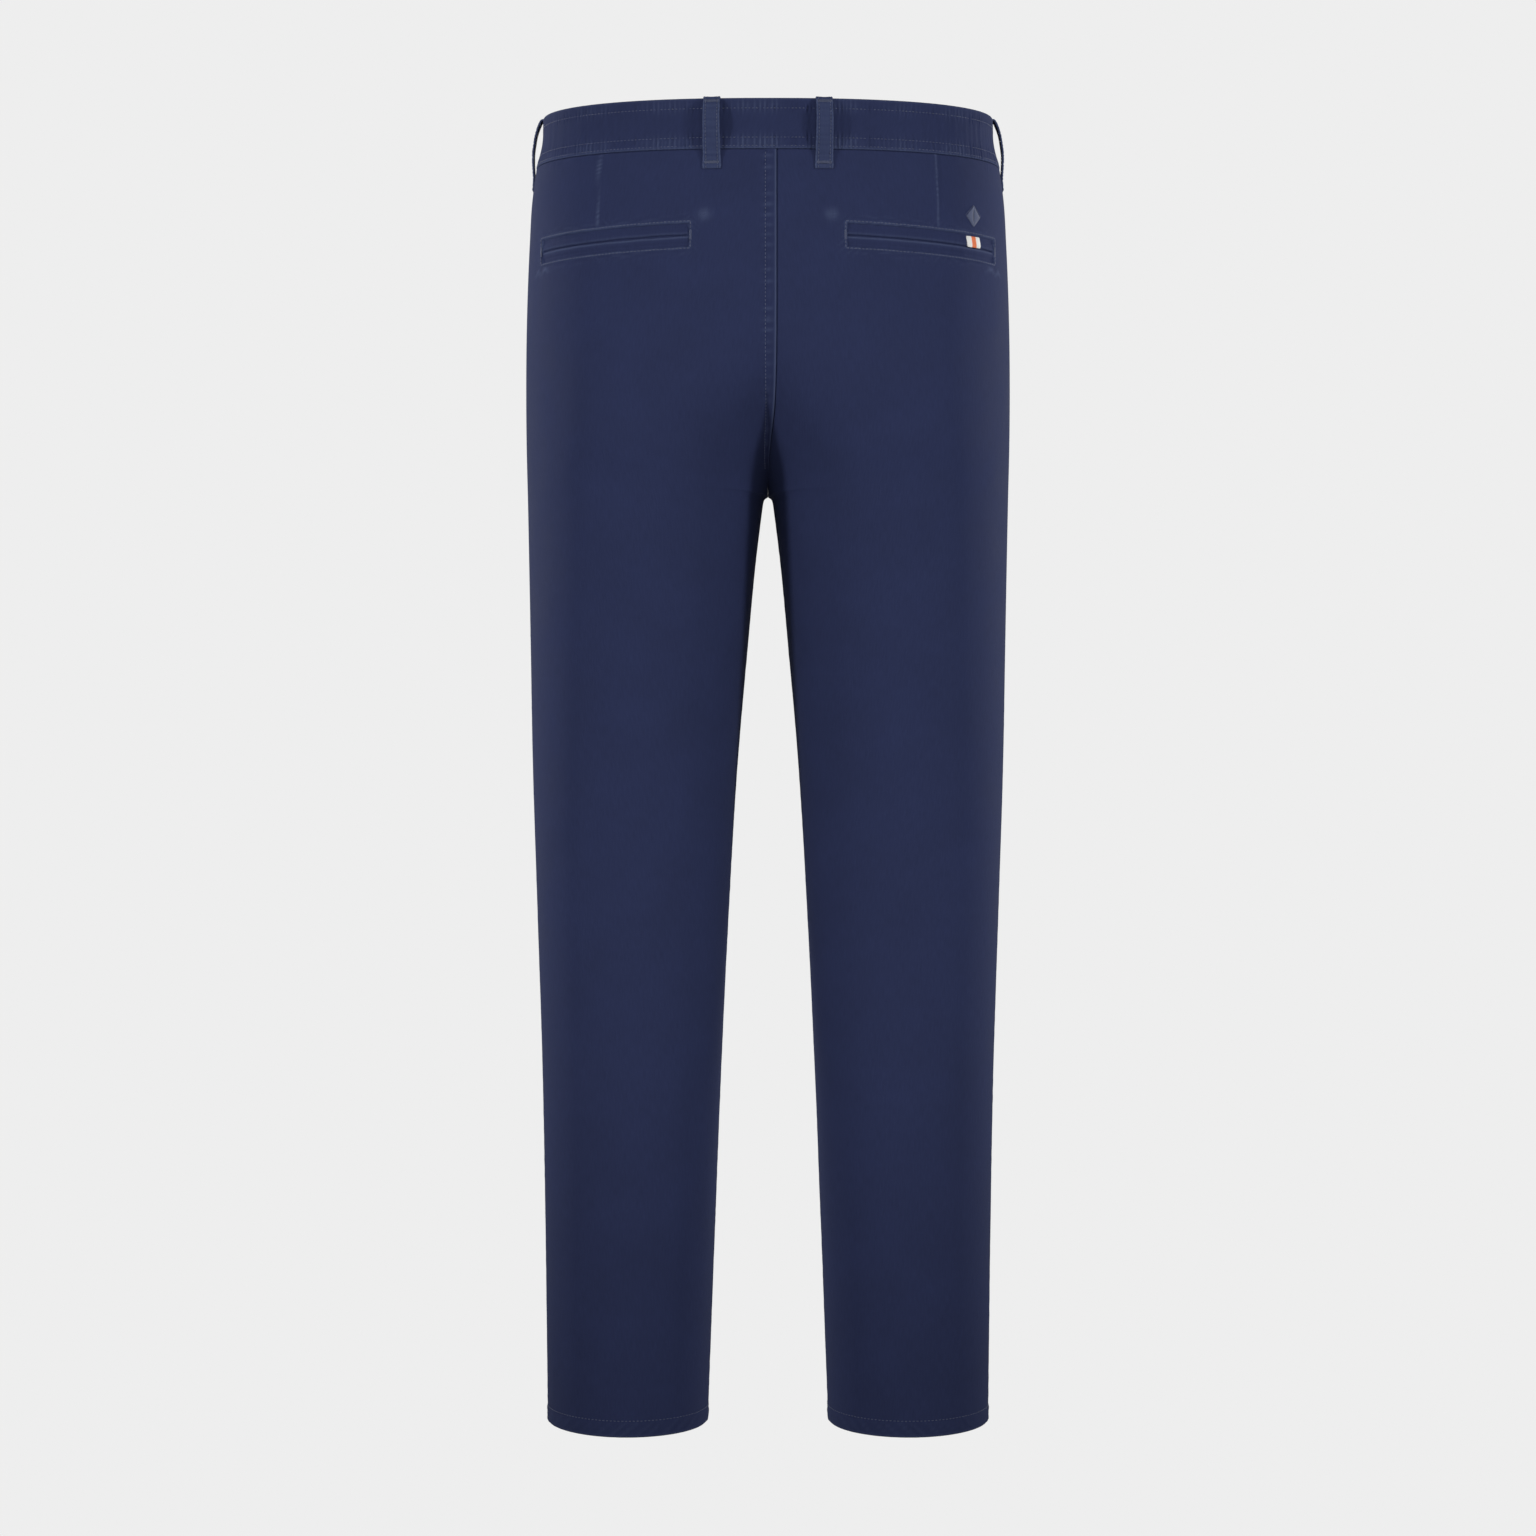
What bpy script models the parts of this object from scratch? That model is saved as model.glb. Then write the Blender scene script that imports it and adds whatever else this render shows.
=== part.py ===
"""Chino trousers, filled out as when they are worn, open at the waist and at both legs.

Frame: +Z up, the front faces -Y and the wearer's left is +X. The origin is the middle of the
waistband ring, where the wearer's waist holds the trousers. Sizes below are in millimetres and
become metres when a mesh is made.

The outer skin is one formula, skin(): a rounded ring at every height, one ring round the hips
and one round each leg. Every piece of cloth is a grid of points on that skin, moved out or in
by its place in the layers, and thickened by Solidify.
"""
import math
from collections import namedtuple
from functools import lru_cache

import bmesh
import bpy
import numpy as np
from mathutils import Vector

MM = 0.001

# ---- cloth and seams ---------------------------------------------------------------------
CLOTH = 1.5                # wall of the twill panels
LIGHT_CLOTH = 1.0          # wall of welts and facings
SEAM_GAP = 0.3             # clear space between neighbouring pieces
HALF_GAP = SEAM_GAP / 2
PATCH_LIFT = 0.4           # what lies on a panel clears the panel's facets by this much
UNDERLAY_LIFT = 1.4        # and what lies behind a panel, by this much
PATCH_ROW_STEP = 20.0      # longest span between two rows of a patch

# ---- main heights ------------------------------------------------------------------------
BAND_TOP = 20.0
BAND_BOTTOM = -20.0
CROTCH = -280.0
HEM = -1017.0
HEM_BACK_DIP = 5.0         # the hem hangs lower at the calf
HEM_FRONT_RISE = 2.0       # and lifts a little over the foot
HEM_FADE = 60.0            # height over which that slant dies out

# ---- crotch ------------------------------------------------------------------------------
FORK_BLEND = 190.0         # height over which one hip ring turns into two leg rings
FORK_START = 0.12          # slope of the half ring's inner edge where that starts
FORK_FINISH = 0.80         # and how fast the two halves are still merging where it ends
ARCH_WIDTH = 3.2           # half width of the narrow arch between the legs
ARCH_RADIUS = 1.5          # how fast that arch opens below the crotch
ARCH_FOCUS = 8             # keeps the arch beside the inseam

# ---- laps at the centre seams: the left side lies over the right --------------------------
LAP = 6.5
LAP_FULL_AT = -215.0
LAP_GONE_AT = -268.0

# Outer skin: half width at the side, depth to the front and to the back of the side seam,
# place of the half ring's inner edge before the arch is opened, and squareness (2 is an
# ellipse).
Section = namedtuple("Section", "z side front back inner square")
SECTIONS = (
    Section(20, 179.5, 97, 101, 0, 2.35),
    Section(2, 180.0, 98, 102, 0, 2.35),
    Section(-20, 184.6, 101, 106, 0, 2.35),
    Section(-44, 188.0, 104, 111, 0, 2.33),
    Section(-80, 190.2, 107, 118, 0, 2.30),
    Section(-140, 192.4, 110, 124, 0, 2.25),
    Section(-200, 193.0, 108, 123, 0, 2.18),
    Section(-245, 192.6, 103, 117, -4.2, 2.12),
    Section(-280, 191.8, 98, 110, 0, 2.08),
    Section(-332, 190.8, 93, 102, 6.4, 2.05),
    Section(-400, 189.6, 87, 93, 12.8, 2.03),
    Section(-492, 188.0, 78, 82, 20.8, 2.02),
    Section(-620, 184.0, 68, 71, 28.4, 2.0),
    Section(-740, 180.2, 61, 67, 34.1, 2.0),
    Section(-860, 178.0, 55, 63, 38.8, 2.0),
    Section(-1025, 176.0, 52, 57, 45.0, 2.0),
)

FRONT, BACK = -1, 1
LEFT, RIGHT = 1, -1
HAND_NAMES = {LEFT: "left", RIGHT: "right"}

# ---- grid of a leg panel -----------------------------------------------------------------
ROWS_ABOVE_CROTCH = (230, 195, 155, 120, 88, 60, 38, 22, 11, 4)
ROWS_BELOW_CROTCH = (1.5, 5, 14, 32, 65, 115, 180, 260, 345, 435, 530, 620, 690, 722)
PANEL_COLUMNS = 12
EDGE_COLUMN = 0.012        # narrow first and last column: keeps the wall square at a seam

# ---- slanted front pockets ---------------------------------------------------------------
SLANT_AT_BAND = 46.0       # distance of the mouth from the side seam at the waistband
SLANT_BOTTOM = -185.0      # where the mouth meets the side seam
FACING_UNDER = 18.0        # how far the facing runs under the front panel
FACING_DEPTH = 22.0        # and below the mouth
FACING_ROWS = 9
FACING_COLUMNS = 5

# ---- waistband ---------------------------------------------------------------------------
BAND_WALL = 2.2
BAND_COLUMNS = 50
BAND_ROWS = (BAND_TOP, 7.0, -7.0, BAND_BOTTOM)
UNDERLAP = 38.0            # the right end runs on under the left end
UNDERLAP_EASE = 40.0       # length over which it dives under

# ---- belt loops --------------------------------------------------------------------------
LOOP_WIDTH = 13.0
LOOP_WALL = 1.8
LOOP_COLUMNS = 2
# Side view of a loop's inner face: height, and its distance from the skin as a part of the
# belt gap, from the fold over the band's top edge to the foot on the panel.
LoopRow = namedtuple("LoopRow", "z lift")
LOOP_ROWS = (
    LoopRow(17.0, 0.28),
    LoopRow(11.0, 0.72),
    LoopRow(4.0, 1.0),
    LoopRow(-7.0, 1.0),
    LoopRow(-16.0, 0.70),
    LoopRow(-23.0, 0.26),
    LoopRow(-28.5, 0.0),
    LoopRow(-34.0, 0.0),
)
LOOP_FOLD_IN = 1.4         # how far the fold reaches in over the band's top edge
# A loop's middle is so far from the centre seam, or from the side seam where at_side is set.
Loop = namedtuple("Loop", "name face hand at_side distance gap")
LOOPS = (
    Loop("belt_loop_back_left", BACK, LEFT, False, 43.3, 6.8),
    Loop("belt_loop_back_right", BACK, RIGHT, False, 43.3, 6.8),
    Loop("belt_loop_front_left", FRONT, LEFT, False, 75.0, 7.9),
    Loop("belt_loop_front_right", FRONT, RIGHT, False, 75.0, 7.9),
    Loop("belt_loop_side_left", BACK, LEFT, True, 0.0, 5.6),
    Loop("belt_loop_side_right", BACK, RIGHT, True, 0.0, 5.6),
)

# ---- back pockets ------------------------------------------------------------------------
POCKET_INNER = 61.0        # from the centre back to the pocket's inner end
POCKET_LENGTH = 136.0
POCKET_SLIT = -88.0
POCKET_DROP = 4.2          # the outer end sits lower than the inner end
UPPER_WELT = 9.6
LOWER_WELT = 9.2
WELT_SLIT = 0.6
WELT_COLUMNS = 16

# ---- striped tab and embroidered motif at the right back pocket ---------------------------
TAB_CENTRE = 171.0         # along the cloth from the centre back
TAB_WIDTH = 15.0
TAB_HEIGHT = 10.1
TAB_WALL = 0.8
MOTIF_CENTRE = 170.0
MOTIF_MIDDLE = -66.5
MOTIF_HEIGHT = 17.0
MOTIF_WIDTH = 17.0
MOTIF_TIP = 1.6
MOTIF_WALL = 0.8

# ---- fly ---------------------------------------------------------------------------------
FLY_EDGE = -5.5            # edge of the fly's inner pieces, just inside the lapped edge
# Rows of the J-shaped facing: height and the distance from the centre front to its free edge.
FlyRow = namedtuple("FlyRow", "z reach")
FLY_FACING = (
    FlyRow(-21.0, 38.0),
    FlyRow(-80.0, 38.0),
    FlyRow(-135.0, 37.0),
    FlyRow(-157.0, 31.0),
    FlyRow(-172.0, 21.0),
    FlyRow(-182.0, 9.0),
    FlyRow(-187.0, 0.0),
)
FLY_SHIELD_TOP = -21.0
FLY_SHIELD_BOTTOM = -176.0
FLY_SHIELD_EDGE = -12.0
FLY_SHIELD_REACH = 36.0
ZIP_TOP = -24.0
ZIP_BOTTOM = -174.0
ZIP_MIDDLE = 4.5
ZIP_TAPE_WIDTH = 26.0
ZIP_TAPE_WALL = 0.8
ZIP_SLIDER_WALL = 2.0
# Slider and its pull tab in one outline: height and width.
SliderRow = namedtuple("SliderRow", "z width")
ZIP_SLIDER = (
    SliderRow(-26.0, 5.0),
    SliderRow(-29.0, 8.0),
    SliderRow(-36.0, 7.0),
    SliderRow(-38.0, 3.6),
    SliderRow(-41.0, 3.6),
    SliderRow(-43.0, 5.4),
    SliderRow(-57.0, 5.4),
    SliderRow(-60.0, 3.6),
)
FLY_COLUMNS = 4

# ---- waistband button --------------------------------------------------------------------
BUTTON_OFFSET = 15.0       # from the centre front
BUTTON_DIAMETER = 15.0
BUTTON_WALL = 3.0
BUTTON_LIFT = 0.8          # thread shank between the band and the button
BUTTON_ROUNDING = 0.6
BUTTON_SIDES = 24
BUTTON_HOLE_DIAMETER = 1.9
BUTTON_HOLE_SPREAD = 1.9   # from the middle to a hole, along each axis
BUTTON_HOLE_SIDES = 8

# ---- hems --------------------------------------------------------------------------------
HEM_TURN_UP = 14.0
HEM_SET_BACK = 0.6         # the fold's inner layer stops just above the edge

# ---- finishes ----------------------------------------------------------------------------
Finish = namedtuple("Finish", "colour roughness metallic")
TWILL = Finish((44, 51, 80), 0.85, 0.0)
TWILL_LIGHT = Finish((57, 67, 98), 0.85, 0.0)
POCKETING = Finish((52, 58, 84), 0.9, 0.0)
WHITE_TAPE = Finish((236, 234, 228), 0.8, 0.0)
HORN = Finish((38, 40, 56), 0.35, 0.0)
METAL = Finish((120, 122, 128), 0.35, 1.0)


# ---- the outer skin ----------------------------------------------------------------------
HEIGHTS = np.array([row.z for row in reversed(SECTIONS)], float)


@lru_cache(maxsize=None)
def column(name):
    """One column of the section table, lowest first, and its slopes."""
    values = np.array([getattr(row, name) for row in reversed(SECTIONS)], float)
    return values, np.gradient(values, HEIGHTS)


def size_at(name, z):
    """A smooth cubic through one column of the section table."""
    values, slopes = column(name)
    low = int(np.clip(np.searchsorted(HEIGHTS, z) - 1, 0, len(HEIGHTS) - 2))
    step = HEIGHTS[low + 1] - HEIGHTS[low]
    t = min(max((z - HEIGHTS[low]) / step, 0.0), 1.0)
    rise = values[low + 1] - values[low]
    near = t * (1 - t) ** 2 * step * slopes[low]
    far = t ** 2 * (t - 1) * step * slopes[low + 1]
    return float(values[low] + rise * t * t * (3 - 2 * t) + near + far)


def ring_inner(z):
    """Inner edge of a half ring: beyond the middle plane above the crotch, until both halves
    share one middle, and short of it below."""
    if z < CROTCH:
        return size_at("inner", z)
    side = size_at("side", z)
    t = min((z - CROTCH) / FORK_BLEND, 1.0)
    start = FORK_START * FORK_BLEND / side
    merged = start * t * (1 - t) ** 2 + t * t * (3 - 2 * t) + FORK_FINISH * t * t * (t - 1)
    return -side * merged


@lru_cache(maxsize=None)
def half_ring(z, face):
    """The left half's outline at one height and its running length, from the centre seam
    (or the inseam) round to the side seam."""
    side = size_at("side", z)
    middle = (side + ring_inner(z)) / 2
    half_width = side - middle
    depth = size_at("front" if face == FRONT else "back", z)
    power = 2 / size_at("square", z)
    angle = np.linspace(math.pi, 0, 721)
    cosine = np.cos(angle)
    x = middle + half_width * np.sign(cosine) * np.abs(cosine) ** power
    if z < CROTCH:
        x += ARCH_WIDTH * (1 - math.exp((z - CROTCH) / ARCH_RADIUS)) * ((1 - cosine) / 2) ** ARCH_FOCUS
    y = face * depth * np.abs(np.sin(angle)) ** power
    if x[0] < 0:
        first = int(np.argmax(x > 0))
        y_middle = np.interp(0.0, x[first - 1:first + 1], y[first - 1:first + 1])
        x = np.concatenate(([0.0], x[first:]))
        y = np.concatenate(([y_middle], y[first:]))
    run = np.concatenate(([0.0], np.cumsum(np.hypot(np.diff(x), np.diff(y)))))
    return x, y, run


def length_to_side(z, face):
    """Length of the cloth from the centre seam (or the inseam) to the side seam."""
    return half_ring(round(z, 3), face)[2][-1]


def skin_point(z, face, along):
    """A point of the skin. along is the length of cloth from the centre seam (above the
    crotch) or from the inseam (below it), positive to the wearer's left. Past the side seam it
    goes on round the other face."""
    hand = 1 if along >= 0 else -1
    reach = abs(along)
    x, y, run = half_ring(round(z, 3), face)
    if reach > run[-1]:
        past = reach - run[-1]
        x, y, run = half_ring(round(z, 3), -face)
        reach = run[-1] - past
    return np.array((hand * np.interp(reach, run, x), np.interp(reach, run, y), z))


def skin(z, face, along, out=0.0):
    """A point of the skin, moved out of the body by out."""
    point = skin_point(z, face, along)
    if out == 0.0:
        return point
    step = 0.5
    low, high = along - step, along + step
    if z < CROTCH and low < 0 <= along:
        low = along
    if z < CROTCH and along < 0 <= high:
        high = along
    across = skin_point(z, face, high) - skin_point(z, face, low)
    upward = skin_point(z + step, face, along) - skin_point(z - step, face, along)
    normal = -face * np.cross(across, upward)
    return point + out * normal / np.linalg.norm(normal)


def eased(value):
    """Smooth step from 0 to 1."""
    t = min(max(value, 0.0), 1.0)
    return t * t * (3 - 2 * t)


def lap_at(z):
    """How far the left side runs past the middle plane over the right side."""
    return LAP * eased((z - LAP_GONE_AT) / (LAP_FULL_AT - LAP_GONE_AT))


def first_clear(z, face):
    """Cloth length at which a half clears its neighbours by half the seam gap."""
    x, y, run = half_ring(round(z, 3), face)
    clear = (x >= HALF_GAP) & (np.abs(y) >= HALF_GAP)
    first = int(np.argmax(clear))
    if first == 0:
        return 0.0
    shares = []
    for values in (x, np.abs(y)):
        low, high = values[first - 1], values[first]
        if low < HALF_GAP:
            shares.append((HALF_GAP - low) / (high - low))
    return float(run[first - 1] + max(shares) * (run[first] - run[first - 1]))


# ---- making pieces -----------------------------------------------------------------------
def srgb_to_linear(level):
    value = level / 255
    return value / 12.92 if value <= 0.04045 else ((value + 0.055) / 1.055) ** 2.4


def give_material(piece, finish):
    material = bpy.data.materials.new(piece.name)
    material.use_nodes = True
    shader = material.node_tree.nodes["Principled BSDF"]
    colour = [srgb_to_linear(level) for level in finish.colour]
    shader.inputs["Base Color"].default_value = (*colour, 1.0)
    shader.inputs["Roughness"].default_value = finish.roughness
    shader.inputs["Metallic"].default_value = finish.metallic
    piece.data.materials.append(material)


def loft(name, rows, wall, finish, flip=False, closed=False, outward=False):
    """A cloth piece: a loft through rows of points, top row first, thickened by Solidify
    towards the body, or away from it when outward is set."""
    shape = bmesh.new()
    grid = [[shape.verts.new(point * MM) for point in row] for row in rows]
    across = len(rows[0])
    for upper, lower in zip(grid, grid[1:]):
        for index in range(across if closed else across - 1):
            after = (index + 1) % across
            corners = [upper[index], upper[after], lower[after], lower[index]]
            shape.faces.new(reversed(corners) if flip else corners)
    mesh = bpy.data.meshes.new(name)
    shape.to_mesh(mesh)
    shape.free()
    mesh.shade_smooth()
    piece = bpy.data.objects.new(name, mesh)
    parts.objects.link(piece)
    thicken = piece.modifiers.new("Cloth thickness", "SOLIDIFY")
    thicken.thickness = wall * MM
    thicken.offset = 1.0 if outward else -1.0
    thicken.use_even_offset = True
    thicken.use_quality_normals = True
    give_material(piece, finish)
    return piece


def spread(low, high, columns):
    return np.linspace(low, high, columns + 1)


def patch(name, face, rows, wall, finish, out, columns):
    """A piece lying on the skin: each row gives its height and its two ends along the cloth.
    Long spans are split so that the piece follows the body. out above zero stacks outward."""
    split = [rows[0]]
    for upper, lower in zip(rows, rows[1:]):
        pieces = math.ceil((upper[0] - lower[0]) / PATCH_ROW_STEP)
        for step in range(1, pieces + 1):
            split.append([a + (b - a) * step / pieces for a, b in zip(upper, lower)])
    grid = [[skin(z, face, along, out) for along in spread(low, high, columns)]
            for z, low, high in split]
    return loft(name, grid, wall, finish, flip=face == FRONT, outward=out > 0)


# ---- leg panels --------------------------------------------------------------------------
def mouth_of_pocket(z):
    """Distance of the slanted pocket mouth from the side seam."""
    return SLANT_AT_BAND * max((z - SLANT_BOTTOM) / (BAND_BOTTOM - SLANT_BOTTOM), 0.0)


def hem_shift(z, face, share):
    """The hem's slant: lower at the calf, higher over the foot, fading out upward."""
    fade = eased((HEM + HEM_FADE - z) / HEM_FADE)
    swing = math.sin(math.pi * share) * fade
    return -HEM_BACK_DIP * swing if face == BACK else HEM_FRONT_RISE * swing


def panel_heights():
    top = [BAND_BOTTOM - SEAM_GAP]
    above = [CROTCH + step for step in ROWS_ABOVE_CROTCH]
    below = [CROTCH - step for step in ROWS_BELOW_CROTCH]
    return top + above + [CROTCH] + below + [HEM]


def panel_shares():
    middle = list(spread(0, 1, PANEL_COLUMNS))
    return [0.0, EDGE_COLUMN] + middle[1:-1] + [1 - EDGE_COLUMN, 1.0]


def leg_panel(face, hand):
    """A front or back panel, waist seam to hem, from its centre seam and inseam to its side
    seam; a front stops at the slanted pocket mouth."""
    rows = []
    for z in panel_heights():
        start = first_clear(z, face) - hand * lap_at(z)
        end = length_to_side(z, face) - HALF_GAP
        if face == FRONT:
            end -= mouth_of_pocket(z)
        row = []
        for share in panel_shares():
            height = z + hem_shift(z, face, share)
            row.append(skin(height, face, hand * (start + share * (end - start))))
        rows.append(row if hand == LEFT else row[::-1])
    side_name = "front" if face == FRONT else "back"
    name = f"{side_name}_panel_{HAND_NAMES[hand]}"
    return loft(name, rows, CLOTH, TWILL, flip=face == FRONT)


def pocket_facing(hand):
    """The side piece that shows in the slanted front pocket's mouth."""
    rows = []
    for z in spread(BAND_BOTTOM - SEAM_GAP, SLANT_BOTTOM - FACING_DEPTH, FACING_ROWS):
        end = length_to_side(z, FRONT) - HALF_GAP
        start = end - mouth_of_pocket(z) - FACING_UNDER
        sweep = spread(start, end, FACING_COLUMNS)
        row = [skin(z, FRONT, hand * along, -CLOTH - UNDERLAY_LIFT) for along in sweep]
        rows.append(row if hand == LEFT else row[::-1])
    name = f"front_pocket_facing_{HAND_NAMES[hand]}"
    return loft(name, rows, LIGHT_CLOTH, TWILL, flip=True)


def hem_turn_up(hand):
    """The turned-up inner layer of one leg's hem, a ring inside both panels."""
    rows = []
    for lift in (HEM_TURN_UP, HEM_SET_BACK):
        row = []
        for face in (FRONT, BACK):
            shares = panel_shares() if face == FRONT else panel_shares()[::-1]
            for share in shares:
                z = HEM + lift + hem_shift(HEM, face, share)
                start = first_clear(z, face)
                end = length_to_side(z, face) - HALF_GAP
                along = hand * (start + share * (end - start))
                row.append(skin(z, face, along, -CLOTH - SEAM_GAP))
        rows.append(row)
    name = f"hem_turn_up_{HAND_NAMES[hand]}"
    return loft(name, rows, LIGHT_CLOTH, TWILL, flip=hand == LEFT, closed=True)


# ---- waistband and what fastens it -------------------------------------------------------
def waist_point(z, run, inward):
    """A point of the waist ring. run starts at the centre front and goes round by the
    wearer's left, the back and the right."""
    front = length_to_side(z, FRONT)
    back = length_to_side(z, BACK)
    if run < front:
        return skin(z, FRONT, run, -inward)
    if run < front + 2 * back:
        return skin(z, BACK, front + back - run, -inward)
    return skin(z, FRONT, run - 2 * (front + back), -inward)


def waistband():
    """One strip round the waist; its right end dives under its left end at the front."""
    rows = []
    for z in BAND_ROWS:
        whole = 2 * (length_to_side(z, FRONT) + length_to_side(z, BACK))
        dive_from = whole - LAP - UNDERLAP_EASE
        row = []
        for run in spread(-LAP, whole + UNDERLAP, BAND_COLUMNS):
            dive = eased((run - dive_from) / (UNDERLAP_EASE - LAP))
            row.append(waist_point(z, run, dive * (BAND_WALL + SEAM_GAP)))
        rows.append(row)
    return loft("waistband", rows, BAND_WALL, TWILL, flip=True)


def belt_loop(loop):
    """A folded strip from over the band's top edge down to its foot on the panel."""
    def across(z, out):
        middle = loop.distance + (length_to_side(z, loop.face) if loop.at_side else 0.0)
        sweep = spread(middle - LOOP_WIDTH / 2, middle + LOOP_WIDTH / 2, LOOP_COLUMNS)
        points = [skin(z, loop.face, loop.hand * along, out) for along in sweep]
        return points if loop.hand == LEFT else points[::-1]

    rows = []
    for out in (-LOOP_FOLD_IN, SEAM_GAP):
        rows.append([np.array((x, y, BAND_TOP + SEAM_GAP)) for x, y, _ in across(BAND_TOP, out)])
    for step in LOOP_ROWS:
        rows.append(across(step.z, max(step.lift * loop.gap, SEAM_GAP)))
    return loft(loop.name, rows, LOOP_WALL, TWILL_LIGHT, flip=loop.face == FRONT, outward=True)


def round_bar(name, diameter, length, sides, centre, axis, collection):
    """A cylinder about the given axis, in the given collection."""
    bpy.ops.mesh.primitive_cylinder_add(vertices=sides, radius=diameter / 2 * MM,
                                        depth=length * MM)
    bar = bpy.context.object
    bar.name = name
    bar.data.name = name
    bar.location = centre * MM
    bar.rotation_euler = axis.to_track_quat("Z", "Y").to_euler()
    for holder in list(bar.users_collection):
        holder.objects.unlink(bar)
    collection.objects.link(bar)
    return bar


def waist_button():
    """A four-hole button, flat on the left end of the waistband."""
    seat = Vector(skin(0.0, FRONT, BUTTON_OFFSET))
    axis = Vector(skin(0.0, FRONT, BUTTON_OFFSET, 1.0)) - seat
    centre = seat + axis * (BUTTON_LIFT + BUTTON_WALL / 2)
    button = round_bar("waist_button", BUTTON_DIAMETER, BUTTON_WALL, BUTTON_SIDES, centre,
                       axis, parts)
    rounding = button.modifiers.new("Rounded rim", "BEVEL")
    rounding.width = BUTTON_ROUNDING * MM
    rounding.segments = 1
    across = axis.cross(Vector((0, 0, 1))).normalized() * BUTTON_HOLE_SPREAD
    upward = across.cross(axis).normalized() * BUTTON_HOLE_SPREAD
    for number, (right, up) in enumerate(((-1, -1), (-1, 1), (1, -1), (1, 1))):
        cutter = round_bar(f"button_hole_{number}", BUTTON_HOLE_DIAMETER, 3 * BUTTON_WALL,
                           BUTTON_HOLE_SIDES, centre + right * across + up * upward, axis,
                           cutters)
        cutter.hide_render = True
        cutter.display_type = "WIRE"
        hole = button.modifiers.new(f"Hole {number}", "BOOLEAN")
        hole.operation = "DIFFERENCE"
        hole.object = cutter
    give_material(button, HORN)


# ---- fly ---------------------------------------------------------------------------------
def fly():
    """Facing, zip and shield, stacked inward behind the left front's lapped edge."""
    out = -CLOTH - UNDERLAY_LIFT
    rows = [(row.z, FLY_EDGE, row.reach) for row in FLY_FACING]
    patch("fly_facing", FRONT, rows, LIGHT_CLOTH, POCKETING, out, FLY_COLUMNS)

    out -= LIGHT_CLOTH + SEAM_GAP
    rows = [(row.z, ZIP_MIDDLE - row.width / 2, ZIP_MIDDLE + row.width / 2)
            for row in ZIP_SLIDER]
    patch("zip_slider", FRONT, rows, ZIP_SLIDER_WALL, METAL, out, 1)

    out -= ZIP_SLIDER_WALL + SEAM_GAP
    half = ZIP_TAPE_WIDTH / 2
    rows = [(z, ZIP_MIDDLE - half, ZIP_MIDDLE + half) for z in (ZIP_TOP, ZIP_BOTTOM)]
    patch("zip_tape", FRONT, rows, ZIP_TAPE_WALL, TWILL, out, FLY_COLUMNS)

    out -= ZIP_TAPE_WALL + SEAM_GAP
    rows = [(z, FLY_SHIELD_EDGE, FLY_SHIELD_REACH)
            for z in (FLY_SHIELD_TOP, FLY_SHIELD_BOTTOM)]
    patch("fly_shield", FRONT, rows, CLOTH, TWILL, out, FLY_COLUMNS)


# ---- back pockets, striped tab and motif -------------------------------------------------
def slit_height(along):
    """The pocket slit slopes down a little towards the side seam."""
    return POCKET_SLIT - POCKET_DROP * (abs(along) - POCKET_INNER) / POCKET_LENGTH


def back_pocket(hand):
    """Two welts on the back panel, above and below the slit."""
    welts = (
        ("upper", WELT_SLIT / 2 + UPPER_WELT, WELT_SLIT / 2),
        ("lower", -WELT_SLIT / 2, -WELT_SLIT / 2 - LOWER_WELT),
    )
    sweep = hand * spread(POCKET_INNER, POCKET_INNER + POCKET_LENGTH, WELT_COLUMNS)
    if hand == RIGHT:
        sweep = sweep[::-1]
    for which, top, bottom in welts:
        rows = [[skin(slit_height(along) + rise, BACK, along, PATCH_LIFT) for along in sweep]
                for rise in (top, bottom)]
        name = f"back_pocket_{which}_welt_{HAND_NAMES[hand]}"
        loft(name, rows, LIGHT_CLOTH, TWILL, outward=True)


def striped_tab():
    """A folded end of striped tape sewn on the right pocket's upper welt."""
    out = PATCH_LIFT + LIGHT_CLOTH + SEAM_GAP
    top = slit_height(TAB_CENTRE) + WELT_SLIT / 2 + UPPER_WELT - SEAM_GAP
    low, high = -TAB_CENTRE - TAB_WIDTH / 2, -TAB_CENTRE + TAB_WIDTH / 2
    rows = [(z, low, high) for z in (top, top - TAB_HEIGHT)]
    patch("striped_tab", BACK, rows, TAB_WALL, WHITE_TAPE, out, 3)


def hip_motif():
    """A raised lozenge of satin stitch above the right pocket."""
    rows = []
    for share, width in ((1, MOTIF_TIP), (0, MOTIF_WIDTH), (-1, MOTIF_TIP)):
        z = MOTIF_MIDDLE + share * MOTIF_HEIGHT / 2
        rows.append((z, -MOTIF_CENTRE - width / 2, -MOTIF_CENTRE + width / 2))
    patch("hip_motif", BACK, rows, MOTIF_WALL, TWILL_LIGHT, PATCH_LIFT, 4)


# ---- build -------------------------------------------------------------------------------
for old in list(bpy.data.objects):
    bpy.data.objects.remove(old, do_unlink=True)
parts = bpy.data.collections.new("Chino trousers")
cutters = bpy.data.collections.new("Cutters")
bpy.context.scene.collection.children.link(parts)
bpy.context.scene.collection.children.link(cutters)

for wearer_side in (LEFT, RIGHT):
    leg_panel(FRONT, wearer_side)
    leg_panel(BACK, wearer_side)
    pocket_facing(wearer_side)
    hem_turn_up(wearer_side)
    back_pocket(wearer_side)
waistband()
for belt_carrier in LOOPS:
    belt_loop(belt_carrier)
waist_button()
fly()
striped_tab()
hip_motif()
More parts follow.
